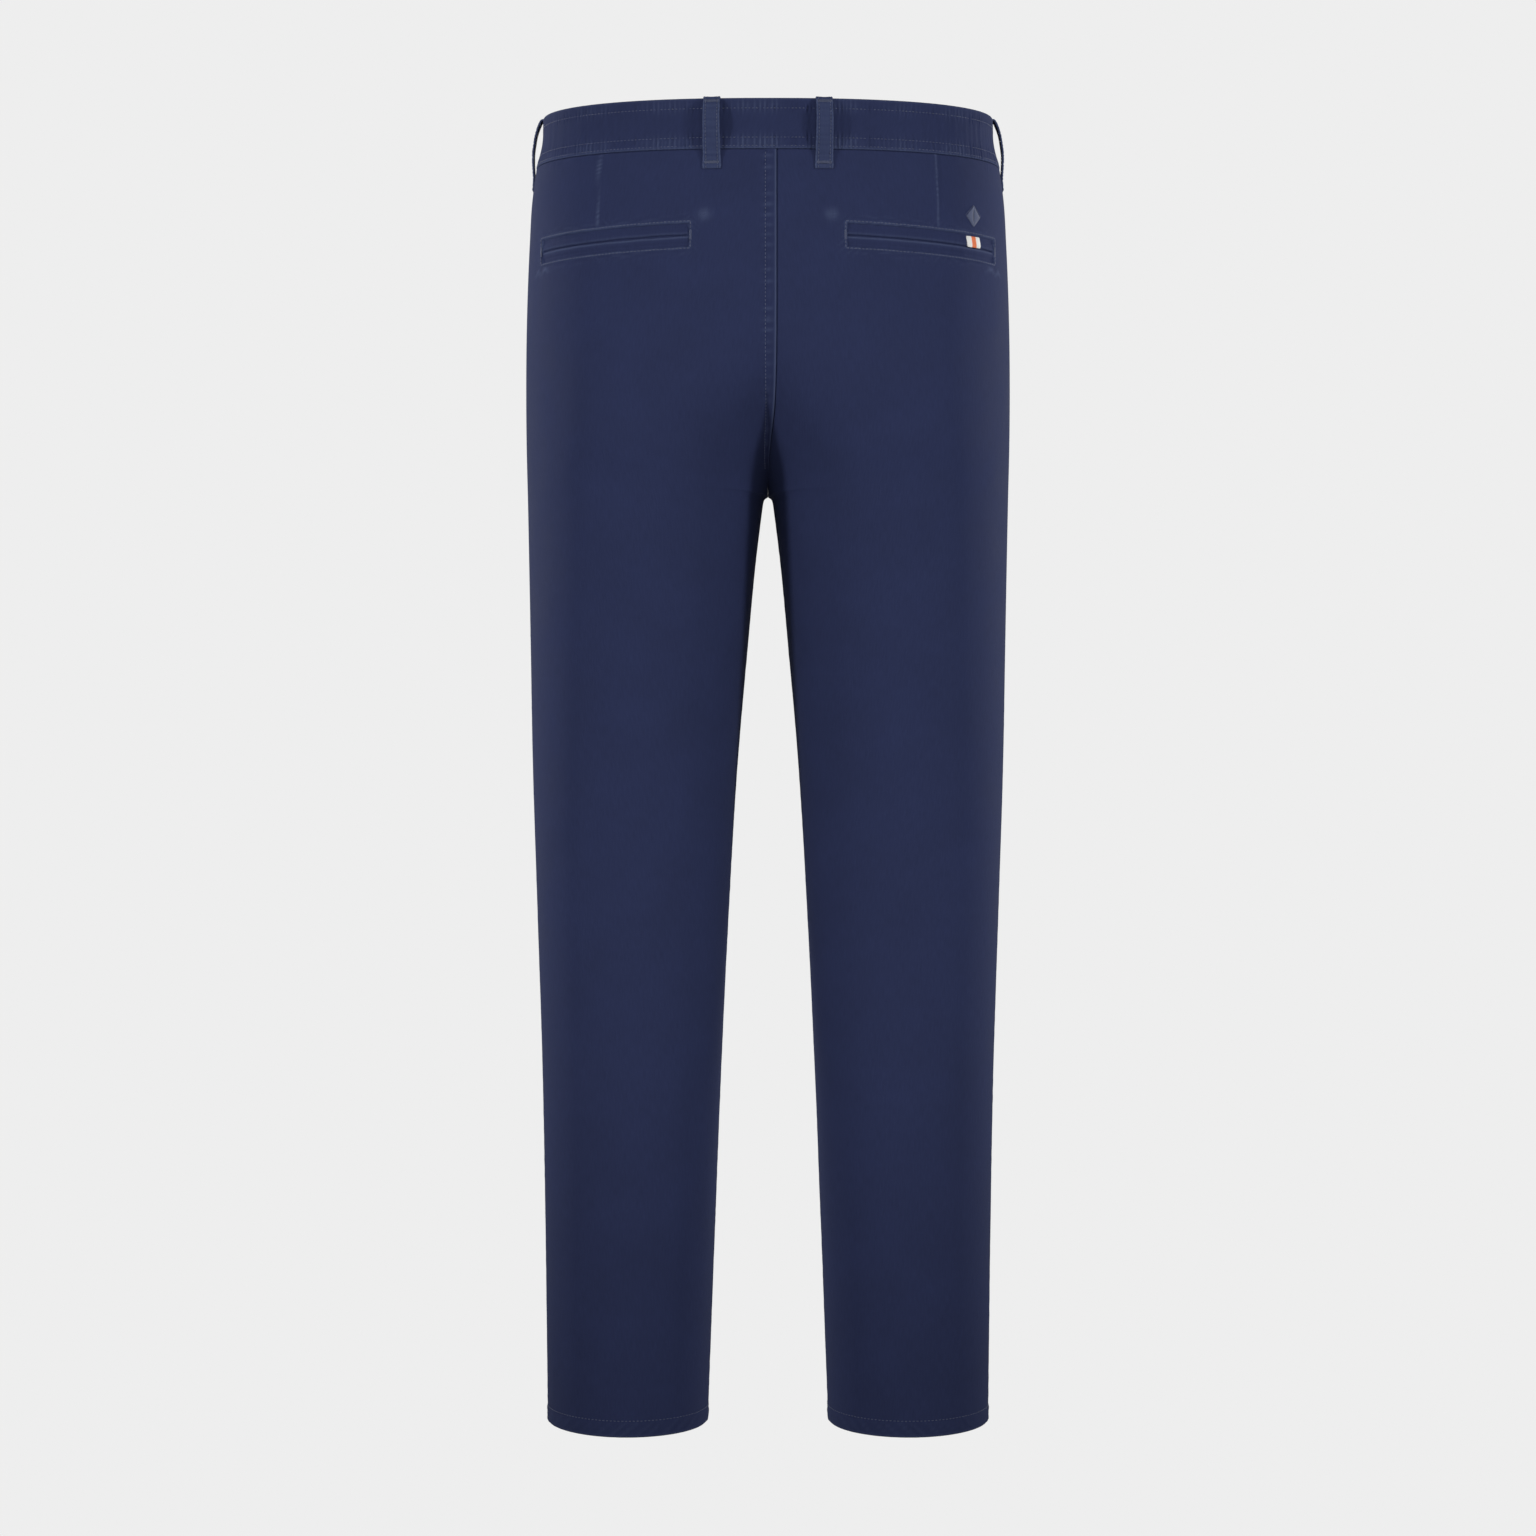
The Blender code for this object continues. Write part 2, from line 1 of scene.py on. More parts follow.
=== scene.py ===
# %% [markdown]
# # Navy chino trousers
# The trousers hang filled out, as if someone wore them, and are looked at from behind. The packed
# CAD model is the frame: it fixes sizes and places. This lesson gives each of its cloth solids a
# skin of real cloth: thin walls, rolled seams, puckers, stitches and a twill weave.

# %% Load the frame
import math
from collections import namedtuple

import bmesh
import bpy
import numpy as np
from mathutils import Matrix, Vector


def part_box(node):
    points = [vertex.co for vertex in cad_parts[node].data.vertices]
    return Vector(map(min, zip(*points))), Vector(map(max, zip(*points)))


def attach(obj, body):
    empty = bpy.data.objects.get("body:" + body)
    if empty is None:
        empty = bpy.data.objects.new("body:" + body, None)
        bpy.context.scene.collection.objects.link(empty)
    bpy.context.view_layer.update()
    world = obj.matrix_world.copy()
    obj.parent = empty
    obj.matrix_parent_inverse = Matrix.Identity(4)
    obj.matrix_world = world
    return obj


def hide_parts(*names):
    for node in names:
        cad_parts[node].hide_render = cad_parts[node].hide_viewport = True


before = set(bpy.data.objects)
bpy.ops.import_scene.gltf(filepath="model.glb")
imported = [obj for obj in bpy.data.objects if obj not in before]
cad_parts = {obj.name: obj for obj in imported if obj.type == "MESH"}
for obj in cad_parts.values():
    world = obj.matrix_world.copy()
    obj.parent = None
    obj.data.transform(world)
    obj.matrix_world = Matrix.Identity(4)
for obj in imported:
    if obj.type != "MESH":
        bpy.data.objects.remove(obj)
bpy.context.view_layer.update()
MM = 0.001
FRONT, BACK = -1, 1
LEFT, RIGHT = 1, -1
HAND_NAMES = {LEFT: "left", RIGHT: "right"}
BAND_TOP = round(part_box("waistband")[1].z / MM, 2)
BAND_BOTTOM = BAND_TOP - 40.0
print("nodes:", len(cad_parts), "band from", BAND_BOTTOM, "to", BAND_TOP, "mm")

# %% [markdown]
# ## Camera
# A long lens at the height of the middle of the trousers keeps them nearly flat, the way
# garments are shot for a catalogue. The back faces +Y, so the camera stands there.

# %% Camera
lens_height = -0.497
lens_distance = 2.8
camera_data = bpy.data.cameras.new("Camera")
camera_data.lens = 82.03
camera_data.sensor_width = 36.0
camera = bpy.data.objects.new("Camera", camera_data)
camera.location = (0, lens_distance, lens_height)
camera.rotation_euler = (math.radians(90), 0, math.radians(180))
bpy.context.scene.collection.objects.link(camera)
bpy.context.scene.camera = camera
bpy.context.scene.view_settings.view_transform = "Standard"
print("camera", tuple(round(c, 3) for c in camera.location))

# %% [markdown]
# ## The skin of the body
# Cloth that is worn takes the shape of rings: one ring round the hips, then one round each leg.
# A rounded ring needs few numbers at each height: its half width, its depth to the front and
# back, where its inner edge is and how square it is. A smooth cubic joins the heights. The CAD
# solids come from the same table, so the cloth made here lies exactly on them.

# %% Ring table
Section = namedtuple("Section", "z side front back inner square")
SECTIONS = (
    Section(20, 179.5, 97, 101, 0, 2.35),
    Section(2, 180.0, 98, 102, 0, 2.35),
    Section(-20, 184.6, 101, 106, 0, 2.35),
    Section(-44, 188.0, 104, 111, 0, 2.33),
    Section(-80, 190.2, 107, 118, 0, 2.30),
    Section(-140, 192.4, 110, 124, 0, 2.25),
    Section(-200, 193.0, 108, 123, 0, 2.18),
    Section(-245, 192.6, 103, 117, -4.2, 2.12),
    Section(-280, 191.8, 98, 110, 0, 2.08),
    Section(-332, 190.8, 93, 102, 6.4, 2.05),
    Section(-400, 189.6, 87, 93, 12.8, 2.03),
    Section(-492, 188.0, 78, 82, 20.8, 2.02),
    Section(-620, 184.0, 68, 71, 28.4, 2.0),
    Section(-740, 180.2, 61, 67, 34.1, 2.0),
    Section(-860, 178.0, 55, 63, 38.8, 2.0),
    Section(-1025, 176.0, 52, 57, 45.0, 2.0),
)
HEIGHTS = np.array([row.z for row in SECTIONS[::-1]], float)


def size_at(name, z):
    """A smooth cubic through one column of the ring table."""
    values = np.array([getattr(row, name) for row in SECTIONS[::-1]], float)
    slopes = np.gradient(values, HEIGHTS)
    low = np.clip(np.searchsorted(HEIGHTS, z) - 1, 0, len(HEIGHTS) - 2)
    step = HEIGHTS[low + 1] - HEIGHTS[low]
    t = np.clip((z - HEIGHTS[low]) / step, 0, 1)
    rise = values[low + 1] - values[low]
    bend = t * (1 - t) * step * ((1 - t) * slopes[low] - t * slopes[low + 1])
    return values[low] + rise * t * t * (3 - 2 * t) + bend


print("half width at the knee:", round(float(size_at("side", -560.0)), 1), "mm")

# %% [markdown]
# Between waist and legs one ring turns into two. Above the crotch each half ring is cut at the
# middle plane; its inner edge slides back to the middle where the legs part, and a narrow arch
# opens just below.

# %% Half ring at one height
CROTCH = -280.0
FORK_BLEND = 190.0
FORK_START = 0.12
FORK_FINISH = 0.80
ARCH_WIDTH = 3.2
ARCH_RADIUS = 1.5
ARCH_FOCUS = 8
HALF_GAP = 0.02


def ring_inner(z):
    """Inner edge of a half ring at one height."""
    if z < CROTCH:
        return float(size_at("inner", z))
    side = float(size_at("side", z))
    t = min((z - CROTCH) / FORK_BLEND, 1.0)
    start = FORK_START * FORK_BLEND / side
    merged = start * t * (1 - t) ** 2 + t * t * (3 - 2 * t) + FORK_FINISH * t * t * (t - 1)
    return -side * merged


def half_ring(z, face):
    """Outline of the left half from the centre seam, or the inseam, to the side seam."""
    side = float(size_at("side", z))
    middle = (side + ring_inner(z)) / 2
    half_width = side - middle
    depth = float(size_at("front" if face == FRONT else "back", z))
    power = 2 / float(size_at("square", z))
    angle = np.linspace(math.pi, 0, 721)
    cosine = np.cos(angle)
    x = middle + half_width * np.sign(cosine) * np.abs(cosine) ** power
    if z < CROTCH:
        opening = ARCH_WIDTH * (1 - math.exp((z - CROTCH) / ARCH_RADIUS))
        x += opening * ((1 - cosine) / 2) ** ARCH_FOCUS
    y = face * depth * np.abs(np.sin(angle)) ** power
    if x[0] < 0:
        first = int(np.argmax(x > 0))
        y_middle = np.interp(0.0, x[first - 1:first + 1], y[first - 1:first + 1])
        x = np.concatenate(([0.0], x[first:]))
        y = np.concatenate(([y_middle], y[first:]))
    run = np.concatenate(([0.0], np.cumsum(np.hypot(np.diff(x), np.diff(y)))))
    return x, y, run


print("hip half ring:", round(half_ring(-140.0, BACK)[2][-1], 1), "mm of cloth at the back")

# %% [markdown]
# Thousands of points will be asked for, so the rings are worked out once, at close heights,
# and every point of cloth is then read between them.

# %% Skin lookup
near_crotch = np.geomspace(0.02, 60, 60)
TABLE_Z = np.unique(np.concatenate((np.arange(-1036, 27, 3.0), CROTCH + near_crotch,
                                    CROTCH - near_crotch, [CROTCH])))
TABLE_SHARES = np.linspace(0, 1, 361)


def clear_length(x, y, run):
    """Cloth length at which a half clears its neighbours by half the seam gap."""
    free = np.minimum(x, np.abs(y))
    first = max(int(np.argmax(free >= HALF_GAP)), 1)
    part = (HALF_GAP - free[first - 1]) / (free[first] - free[first - 1])
    return run[first - 1] + np.clip(part, 0, 1) * (run[first] - run[first - 1])


def ring_tables(face):
    xs, ys, lengths, clears = [], [], [], []
    for z in TABLE_Z:
        x, y, run = half_ring(float(z), face)
        xs.append(np.interp(TABLE_SHARES * run[-1], run, x))
        ys.append(np.interp(TABLE_SHARES * run[-1], run, y))
        lengths.append(run[-1])
        clears.append(clear_length(x, y, run))
    return np.array(xs), np.array(ys), np.array(lengths), np.array(clears)


RINGS = {face: ring_tables(face) for face in (FRONT, BACK)}


def side_length(face, z):
    """Cloth length from the centre seam, or the inseam, to the side seam."""
    return np.interp(z, TABLE_Z, RINGS[face][2])


def first_clear(face, z):
    return np.interp(z, TABLE_Z, RINGS[face][3])


def read_ring(face, z, share):
    low = np.clip(np.searchsorted(TABLE_Z, z, side="right") - 1, 0, len(TABLE_Z) - 2)
    t = np.clip((z - TABLE_Z[low]) / (TABLE_Z[low + 1] - TABLE_Z[low]), 0, 1)
    place = np.clip(share, 0, 1) * (len(TABLE_SHARES) - 1)
    left = np.clip(place.astype(int), 0, len(TABLE_SHARES) - 2)
    part = place - left
    found = []
    for table in RINGS[face][:2]:
        lower = table[low, left] * (1 - part) + table[low, left + 1] * part
        upper = table[low + 1, left] * (1 - part) + table[low + 1, left + 1] * part
        found.append(lower * (1 - t) + upper * t)
    return found


def skin(face, z, along):
    """Points of the skin. along is the cloth length from the centre seam or the inseam,
    positive to the wearer's left; past the side seam it goes on round the other face."""
    z, along = np.broadcast_arrays(np.asarray(z, float), np.asarray(along, float))
    reach = np.abs(along)
    own, other = side_length(face, z), side_length(-face, z)
    x, y = read_ring(face, z, reach / own)
    x_far, y_far = read_ring(-face, z, (own + other - reach) / other)
    x, y = np.where(reach > own, x_far, x), np.where(reach > own, y_far, y)
    return np.stack((np.where(along >= 0, x, -x), y, z), -1)


def skin_normal(face, z, along, step=0.6):
    """Directions out of the body at those points."""
    z, along = np.broadcast_arrays(np.asarray(z, float), np.asarray(along, float))
    low, high = along - step, along + step
    low = np.where((z < CROTCH) & (along >= 0) & (low < 0), along, low)
    high = np.where((z < CROTCH) & (along < 0) & (high > 0), along, high)
    across = skin(face, z, high) - skin(face, z, low)
    upward = skin(face, z + step, along) - skin(face, z - step, along)
    normal = -face * np.cross(across, upward)
    return normal / np.linalg.norm(normal, axis=-1, keepdims=True)


def along_at(face, z, x):
    """Cloth length at which the skin is at that distance from the middle plane."""
    trial = np.linspace(0, float(side_length(face, z)), 400)
    return float(np.interp(x, skin(face, z, trial)[:, 0], trial))


seat = np.array([v.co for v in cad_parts["back_panel_left"].data.vertices]) / MM
print("back panel solid reaches", np.round(seat.max(0), 1), "skin",
      np.round(skin(BACK, -200.0, side_length(BACK, -200.0)), 1))

# %% [markdown]
# ## Small helpers
# Cloth is never regular. Sums of a few sine waves with drawn lengths and phases give ripples
# that look sewn rather than machined, and the same seed gives the same cloth each time.

# %% Shaping helpers
def ease(value):
    """Smooth step from 0 to 1."""
    t = np.clip(value, 0, 1)
    return t * t * (3 - 2 * t)


def ridge(value, middle, width):
    """A soft bell of height 1."""
    return np.exp(-((value - middle) / width) ** 2)


def ripple(place, pitch, seed, waves=6, unevenness=0.4):
    """Irregular waves about -1 to 1 high along a seam."""
    draw = np.random.default_rng(seed)
    total = np.zeros_like(np.asarray(place, float))
    for _ in range(waves):
        length = pitch * (1 + unevenness * draw.uniform(-1, 1))
        total += np.sin(2 * math.pi * (place / length + draw.uniform()))
    return total / math.sqrt(waves)


print("ripple:", np.round(ripple(np.linspace(0, 20, 5), 8.0, 1), 2))

# %% [markdown]
# ## Making meshes
# A piece of cloth is a grid of points with a second grid behind it and a rim between: a closed
# thin wall. The points go into the mesh as arrays, which is far quicker than one by one. Each
# vertex also carries its place on the flat cloth, for the weave, and how much lighter it is
# painted, for wear and for painted highlight.

# %% Mesh builders
def mesh_piece(name, points, faces, flat=None, wear_and_highlight=None):
    """An object from points in millimetres and a list of face arrays."""
    mesh = bpy.data.meshes.new(name)
    corners = np.concatenate([block.ravel() for block in faces])
    sizes = np.concatenate([np.full(len(block), block.shape[1]) for block in faces])
    mesh.vertices.add(len(points))
    mesh.vertices.foreach_set("co", (points * MM).astype(np.float32).ravel())
    mesh.loops.add(len(corners))
    mesh.loops.foreach_set("vertex_index", corners.astype(np.int32))
    mesh.polygons.add(len(sizes))
    starts = np.concatenate(([0], np.cumsum(sizes)[:-1]))
    mesh.polygons.foreach_set("loop_start", starts.astype(np.int32))
    mesh.polygons.foreach_set("use_smooth", np.ones(len(sizes), bool))
    mesh.update(calc_edges=True)
    if flat is not None:
        layer = mesh.uv_layers.new(name="Flat cloth")
        layer.data.foreach_set("uv", (flat[corners] * MM).astype(np.float32).ravel())
    shade = mesh.attributes.new("wear_and_highlight", "FLOAT", "POINT")
    shade.data.foreach_set("value", np.asarray(
        np.zeros(len(points)) if wear_and_highlight is None else wear_and_highlight, np.float32).ravel())
    piece = bpy.data.objects.new(name, mesh)
    bpy.context.scene.collection.objects.link(piece)
    return piece


def grid_faces(rows, columns, closed):
    row = np.arange(rows - 1)[:, None]
    column = np.arange(columns if closed else columns - 1)[None, :]
    after = (column + 1) % columns
    corners = (row * columns + column, row * columns + after,
               (row + 1) * columns + after, (row + 1) * columns + column)
    return np.stack(corners, -1)


def cloth_wall(name, outer, inner, flat, wear_and_highlight, closed=False):
    """A closed thin wall between two grids of points."""
    rows, columns = outer.shape[:2]
    count = rows * columns
    quads = grid_faces(rows, columns, closed)
    rims = [quads[0][:, [1, 0]], quads[-1][:, [3, 2]]]
    if not closed:
        rims += [quads[:, 0][:, [0, 3]], quads[:, -1][:, [2, 1]]]
    rims = [np.concatenate((rim, rim[:, ::-1] + count), 1) for rim in rims]
    quads = quads.reshape(-1, 4)
    middle = quads[len(quads) // 2]
    corner = outer.reshape(-1, 3)[middle]
    facing = np.cross(corner[1] - corner[0], corner[3] - corner[0])
    outward = outer.reshape(-1, 3)[middle[0]] - inner.reshape(-1, 3)[middle[0]]
    faces = np.concatenate([quads, quads[:, ::-1] + count] + rims)
    if facing @ outward < 0:
        faces = faces[:, ::-1]
    points = np.concatenate((outer.reshape(-1, 3), inner.reshape(-1, 3)))
    flat = flat.reshape(-1, 2)
    wear_and_highlight = np.broadcast_to(wear_and_highlight, outer.shape[:2]).ravel()
    return mesh_piece(name, points, [faces], np.concatenate((flat, flat)),
                      np.concatenate((wear_and_highlight, 0 * wear_and_highlight)))


pieces = {}
materials = {}
print("builders ready")

# %% [markdown]
# ## Twill
# Cotton twill has a fine diagonal rib, thread by thread a little lighter and darker, and it
# bleaches first where it stands proud, along seams. Waves across the flat cloth make the rib, two
# noises make the cloudy dye and the slubs, and a per-vertex attribute paints the cloth lighter
# along seams, fold edges and pucker crests: partly wear, partly painted highlight where raised
# cloth catches the light. A little sheen stands for the fuzz of the fibres.

# %% Twill material
TWILL_BLUE = (43, 50, 82)
# Lighter blue mixed in for worn seams and for painted highlights on raised cloth.
TWILL_WORN_AND_LIT = (74, 84, 114)


def linear(colour):
    levels = [level / 255 for level in colour]
    shown = [v / 12.92 if v <= 0.04045 else ((v + 0.055) / 1.055) ** 2.4 for v in levels]
    return (*shown, 1.0)


def scaled(colour, factor):
    return tuple(level * factor for level in colour[:3]) + (1.0,)


class NodeBench:
    """Short ways to add and wire the nodes of one material."""

    def __init__(self, name):
        self.material = bpy.data.materials.new(name)
        self.material.use_nodes = True
        self.nodes = self.material.node_tree.nodes
        self.shader = self.nodes["Principled BSDF"]

    def add(self, kind, **settings):
        node = self.nodes.new("ShaderNode" + kind)
        for key, value in settings.items():
            setattr(node, key, value)
        return node

    def join(self, output, target):
        self.material.node_tree.links.new(output, target)

    def flat_place(self, scale, turn=0.0):
        """Coordinates on the flat cloth, in metres, scaled and turned."""
        source = self.add("UVMap", uv_map="Flat cloth")
        place = self.add("Mapping")
        place.inputs["Scale"].default_value = (scale[0], scale[1], 1.0)
        place.inputs["Rotation"].default_value = (0, 0, math.radians(turn))
        self.join(source.outputs[0], place.inputs["Vector"])
        return place.outputs[0]

    def noise(self, scale, detail, place=None):
        node = self.add("TexNoise")
        node.inputs["Scale"].default_value = scale
        node.inputs["Detail"].default_value = detail
        if place is None:
            place = self.add("TexCoord").outputs["Object"]
        self.join(place, node.inputs["Vector"])
        return node.outputs["Fac"]

    def spread(self, value, low, high):
        """Maps 0.25-0.75 of a value to low-high."""
        node = self.add("MapRange")
        node.inputs["From Min"].default_value = 0.25
        node.inputs["From Max"].default_value = 0.75
        node.inputs["To Min"].default_value = low
        node.inputs["To Max"].default_value = high
        self.join(value, node.inputs["Value"])
        return node.outputs[0]

    def math(self, operation, first, second):
        node = self.add("Math", operation=operation)
        for socket, value in zip(node.inputs, (first, second)):
            if isinstance(value, (int, float)):
                socket.default_value = value
            else:
                self.join(value, socket)
        return node.outputs[0]

    def blend(self, factor, first, second):
        node = self.add("Mix", data_type="RGBA")
        self.join(factor, node.inputs["Factor"])
        for socket, value in ((node.inputs["A"], first), (node.inputs["B"], second)):
            if isinstance(value, tuple):
                socket.default_value = value
            else:
                self.join(value, socket)
        return node.outputs["Result"]

    def bump(self, height, depth, strength=1.0):
        node = self.add("Bump")
        node.inputs["Distance"].default_value = depth
        node.inputs["Strength"].default_value = strength
        self.join(height, node.inputs["Height"])
        self.join(node.outputs[0], self.shader.inputs["Normal"])


WAVE_SPAN = 2 * math.pi / 20


def twill(name, colour, worn_and_lit, rib=0.0007, sheen=0.05):
    """Procedural twill; rib is the distance between two diagonal ribs, in metres."""
    bench = NodeBench(name)
    ribs = bench.add("TexWave", wave_type="BANDS", bands_direction="X")
    ribs.inputs["Scale"].default_value = WAVE_SPAN / rib
    ribs.inputs["Distortion"].default_value = 1.2
    ribs.inputs["Detail"].default_value = 1.0
    bench.join(bench.flat_place((1, 1), 28), ribs.inputs["Vector"])
    slub = bench.noise(900, 2, bench.flat_place((1.0, 0.12)))
    cloud = bench.noise(24, 4)
    base = linear(colour)
    threads = bench.blend(ribs.outputs["Fac"], scaled(base, 0.90), scaled(base, 1.10))
    dye = bench.math("MULTIPLY", bench.spread(cloud, 0.93, 1.07),
                     bench.spread(slub, 0.93, 1.07))
    dyed = bench.add("VectorMath", operation="SCALE")
    bench.join(threads, dyed.inputs[0])
    bench.join(dye, dyed.inputs["Scale"])
    # Lighter where the attribute says: wear, and painted highlight on crests and folds.
    wear_and_highlight = bench.add("Attribute", attribute_name="wear_and_highlight")
    worn_and_lit_here = bench.math("MULTIPLY", wear_and_highlight.outputs["Fac"], bench.spread(slub, 0.7, 1.0))
    bench.join(bench.blend(worn_and_lit_here, dyed.outputs[0], linear(worn_and_lit)),
               bench.shader.inputs["Base Color"])
    bench.join(bench.spread(cloud, 0.78, 0.9), bench.shader.inputs["Roughness"])
    bench.shader.inputs["Specular IOR Level"].default_value = 0.08
    bench.shader.inputs["Sheen Weight"].default_value = sheen
    bench.shader.inputs["Sheen Roughness"].default_value = 0.45
    bench.shader.inputs["Sheen Tint"].default_value = linear((120, 132, 170))
    height = bench.math("ADD", ribs.outputs["Fac"], bench.spread(slub, 0.0, 0.8))
    bench.bump(height, 0.00012, 0.55)
    return bench.material


materials["twill"] = twill("Navy twill", TWILL_BLUE, TWILL_WORN_AND_LIT)
# Belt loops get a lighter copy of the twill: painted highlight, as they stand proud of the band.
materials["loop"] = twill("Navy twill painted lighter, belt loops", (48, 56, 87), TWILL_WORN_AND_LIT)
print("twill rib every 0.7 mm")

# %% [markdown]
# Sewing thread is a smooth two-ply strand, a shade lighter than the cloth, with a fine twist.

# %% Thread material
def thread(name, colour):
    bench = NodeBench(name)
    twist = bench.noise(1800, 1)
    base = linear(colour)
    bench.join(bench.blend(twist, scaled(base, 0.8), scaled(base, 1.15)),
               bench.shader.inputs["Base Color"])
    bench.shader.inputs["Roughness"].default_value = 0.55
    bench.shader.inputs["Sheen Weight"].default_value = 0.2
    bench.bump(twist, 0.00006, 0.6)
    return bench.material


materials["thread"] = thread("Navy thread", (64, 73, 104))
materials["satin"] = thread("Navy satin stitch", (66, 76, 108))
print("thread colours ready")

# %% [markdown]
# ## Where the panels swell and sink
# Each seam leaves its own trace. A plain seam rolls in and dips; a lapped seam stands up with a
# ditch beside it; stitches pull small puckers; a pocket opening is let into the panel. Each
# trace below adds to the height of the cloth over the skin, in millimetres, from z and from s,
# the distance from the centre seam or the inseam.

# %% Seam traces
WALL = 0.9
LAP = 6.5
LAP_FULL_AT = -215.0
LAP_GONE_AT = -277.0
SEAT_STITCH = 8.5
ROLL = 1.2


def lap_share(z):
    return ease((z - LAP_GONE_AT) / (LAP_FULL_AT - LAP_GONE_AT))


def plain_seam(distance, z, seed):
    """A seam pressed open: the edge rolls in, a dip beside it and faint puckers."""
    rolled = -1.9 * (1 - ease(distance / ROLL)) - 0.30 * ridge(distance, 0, 3.0)
    pucker = 0.10 * ripple(z, 9.0, seed) * ridge(distance, 2.5, 3.5)
    return rolled + pucker


def lapped_seam(hand, z, s, seed, stitch):
    """The left side folded over the right side, with or without a row of stitches."""
    share = lap_share(z)
    lap = LAP * share
    clear = first_clear(BACK, z)
    if hand == LEFT:
        edge = s + lap - clear
        height = 0.85 * ease((9.5 - edge) / 3.0) - 0.5 * ridge(edge, 0, 0.7)
        pucker = ripple(z, 8.0, seed) * ridge(edge, 6.5, 3.6)
        if stitch:
            height -= 0.35 * ridge(edge, SEAT_STITCH, 0.8) - 0.26 * pucker
        # Lighter along the folded edge (wear and painted highlight) and on pucker crests (painted
        # highlight).
        wear_and_highlight = 0.85 * ridge(edge, 0.5, 0.8) + 0.42 * np.clip(pucker, 0, 1) * stitch
    else:
        hidden = lap - s + clear
        height = -2.0 * ease((hidden + 0.8) / 1.4) - 0.25 * ridge(hidden, -2.0, 3.0)
        wear_and_highlight, share = np.zeros_like(height), ease(6 * share)
    return height * share, wear_and_highlight * share


def inseam_share(z):
    """The inseam is rolled from a little below the crotch."""
    return ease((CROTCH - 5 - z) / 25)


def tucked_under_band(z, s, seed):
    """The top edge goes up inside the waistband, and the band's stitches pull it."""
    height = -2.9 * ease((z + 20.9) / 2.2)
    below = np.clip(BAND_BOTTOM - z, 0, 60)
    pull = 0.20 * ripple(s, 6.0, seed) + 0.14 * ripple(s, 3.4, seed + 1)
    return height + pull * np.exp(-below / 7.0) * ease(below / 2)


print("lap from the band to", LAP_GONE_AT, "mm")

# %% [markdown]
# ## Creases
# Filled trousers are almost smooth. What creases they have are soft and few: drag lines that
# run out of the crotch, a fold under the seat, broken lines behind the knee. Each is a shallow
# trough along a slightly bowed line, listed one by one: from and to heights, distances from the
# side seam, width, depth and bow.

# %% Crease table
Crease = namedtuple("Crease", "face hand z_from u_from z_to u_to width depth bow")
CREASES = (
    Crease(BACK, LEFT, -262, 208, -208, 150, 15, 1.5, 7),
    Crease(BACK, LEFT, -300, 170, -262, 96, 17, 1.2, 9),
    Crease(BACK, LEFT, -330, 158, -392, 108, 14, 0.9, -8),
    Crease(BACK, LEFT, -560, 120, -575, 30, 12, 0.8, 6),
    Crease(BACK, LEFT, -596, 132, -590, 64, 9, 0.5, -5),
    Crease(BACK, LEFT, -905, 118, -880, 50, 14, 0.6, 6),
    Crease(BACK, RIGHT, -258, 205, -214, 158, 14, 1.3, 6),
    Crease(BACK, RIGHT, -296, 172, -270, 104, 19, 1.4, 10),
    Crease(BACK, RIGHT, -338, 156, -410, 116, 12, 0.8, -7),
    Crease(BACK, RIGHT, -548, 128, -570, 44, 13, 0.7, 8),
    Crease(BACK, RIGHT, -588, 116, -602, 38, 9, 0.6, -4),
    Crease(BACK, RIGHT, -930, 112, -902, 60, 12, 0.5, 5),
    Crease(FRONT, LEFT, -236, 168, -204, 92, 9, 1.6, 5),
    Crease(FRONT, LEFT, -258, 160, -246, 70, 10, 1.9, 7),
    Crease(FRONT, LEFT, -284, 150, -300, 88, 9, 1.2, -5),
    Crease(FRONT, LEFT, -470, 122, -462, 40, 14, 0.9, 7),
    Crease(FRONT, LEFT, -628, 110, -650, 34, 12, 0.8, -6),
    Crease(FRONT, LEFT, -940, 104, -952, 30, 10, 1.0, 6),
    Crease(FRONT, RIGHT, -230, 164, -210, 100, 10, 1.4, 6),
    Crease(FRONT, RIGHT, -255, 162, -238, 62, 9, 2.0, 6),
    Crease(FRONT, RIGHT, -290, 148, -296, 96, 8, 1.0, -4),
    Crease(FRONT, RIGHT, -482, 118, -460, 52, 13, 0.8, 6),
    Crease(FRONT, RIGHT, -640, 112, -644, 28, 11, 0.9, -7),
    Crease(FRONT, RIGHT, -954, 100, -938, 44, 11, 0.8, 5),
)


def creases(face, hand, z, u):
    total = np.zeros_like(z + u)
    for line in CREASES:
        if (line.face, line.hand) != (face, hand):
            continue
        run_z, run_u = line.z_to - line.z_from, line.u_to - line.u_from
        length = math.hypot(run_z, run_u)
        part = ((z - line.z_from) * run_z + (u - line.u_from) * run_u) / length ** 2
        aside = ((u - line.u_from) * run_z - (z - line.z_from) * run_u) / length
        inside = np.clip(part, 0, 1)
        bowed = aside - line.bow * 4 * inside * (1 - inside)
        valley = ridge(bowed, 0, line.width)
        shoulder = 0.35 * ridge(bowed, 1.9 * line.width, line.width)
        total -= line.depth * (valley - shoulder) * np.sin(math.pi * inside) ** 1.5
    return total


print(len(CREASES), "creases")

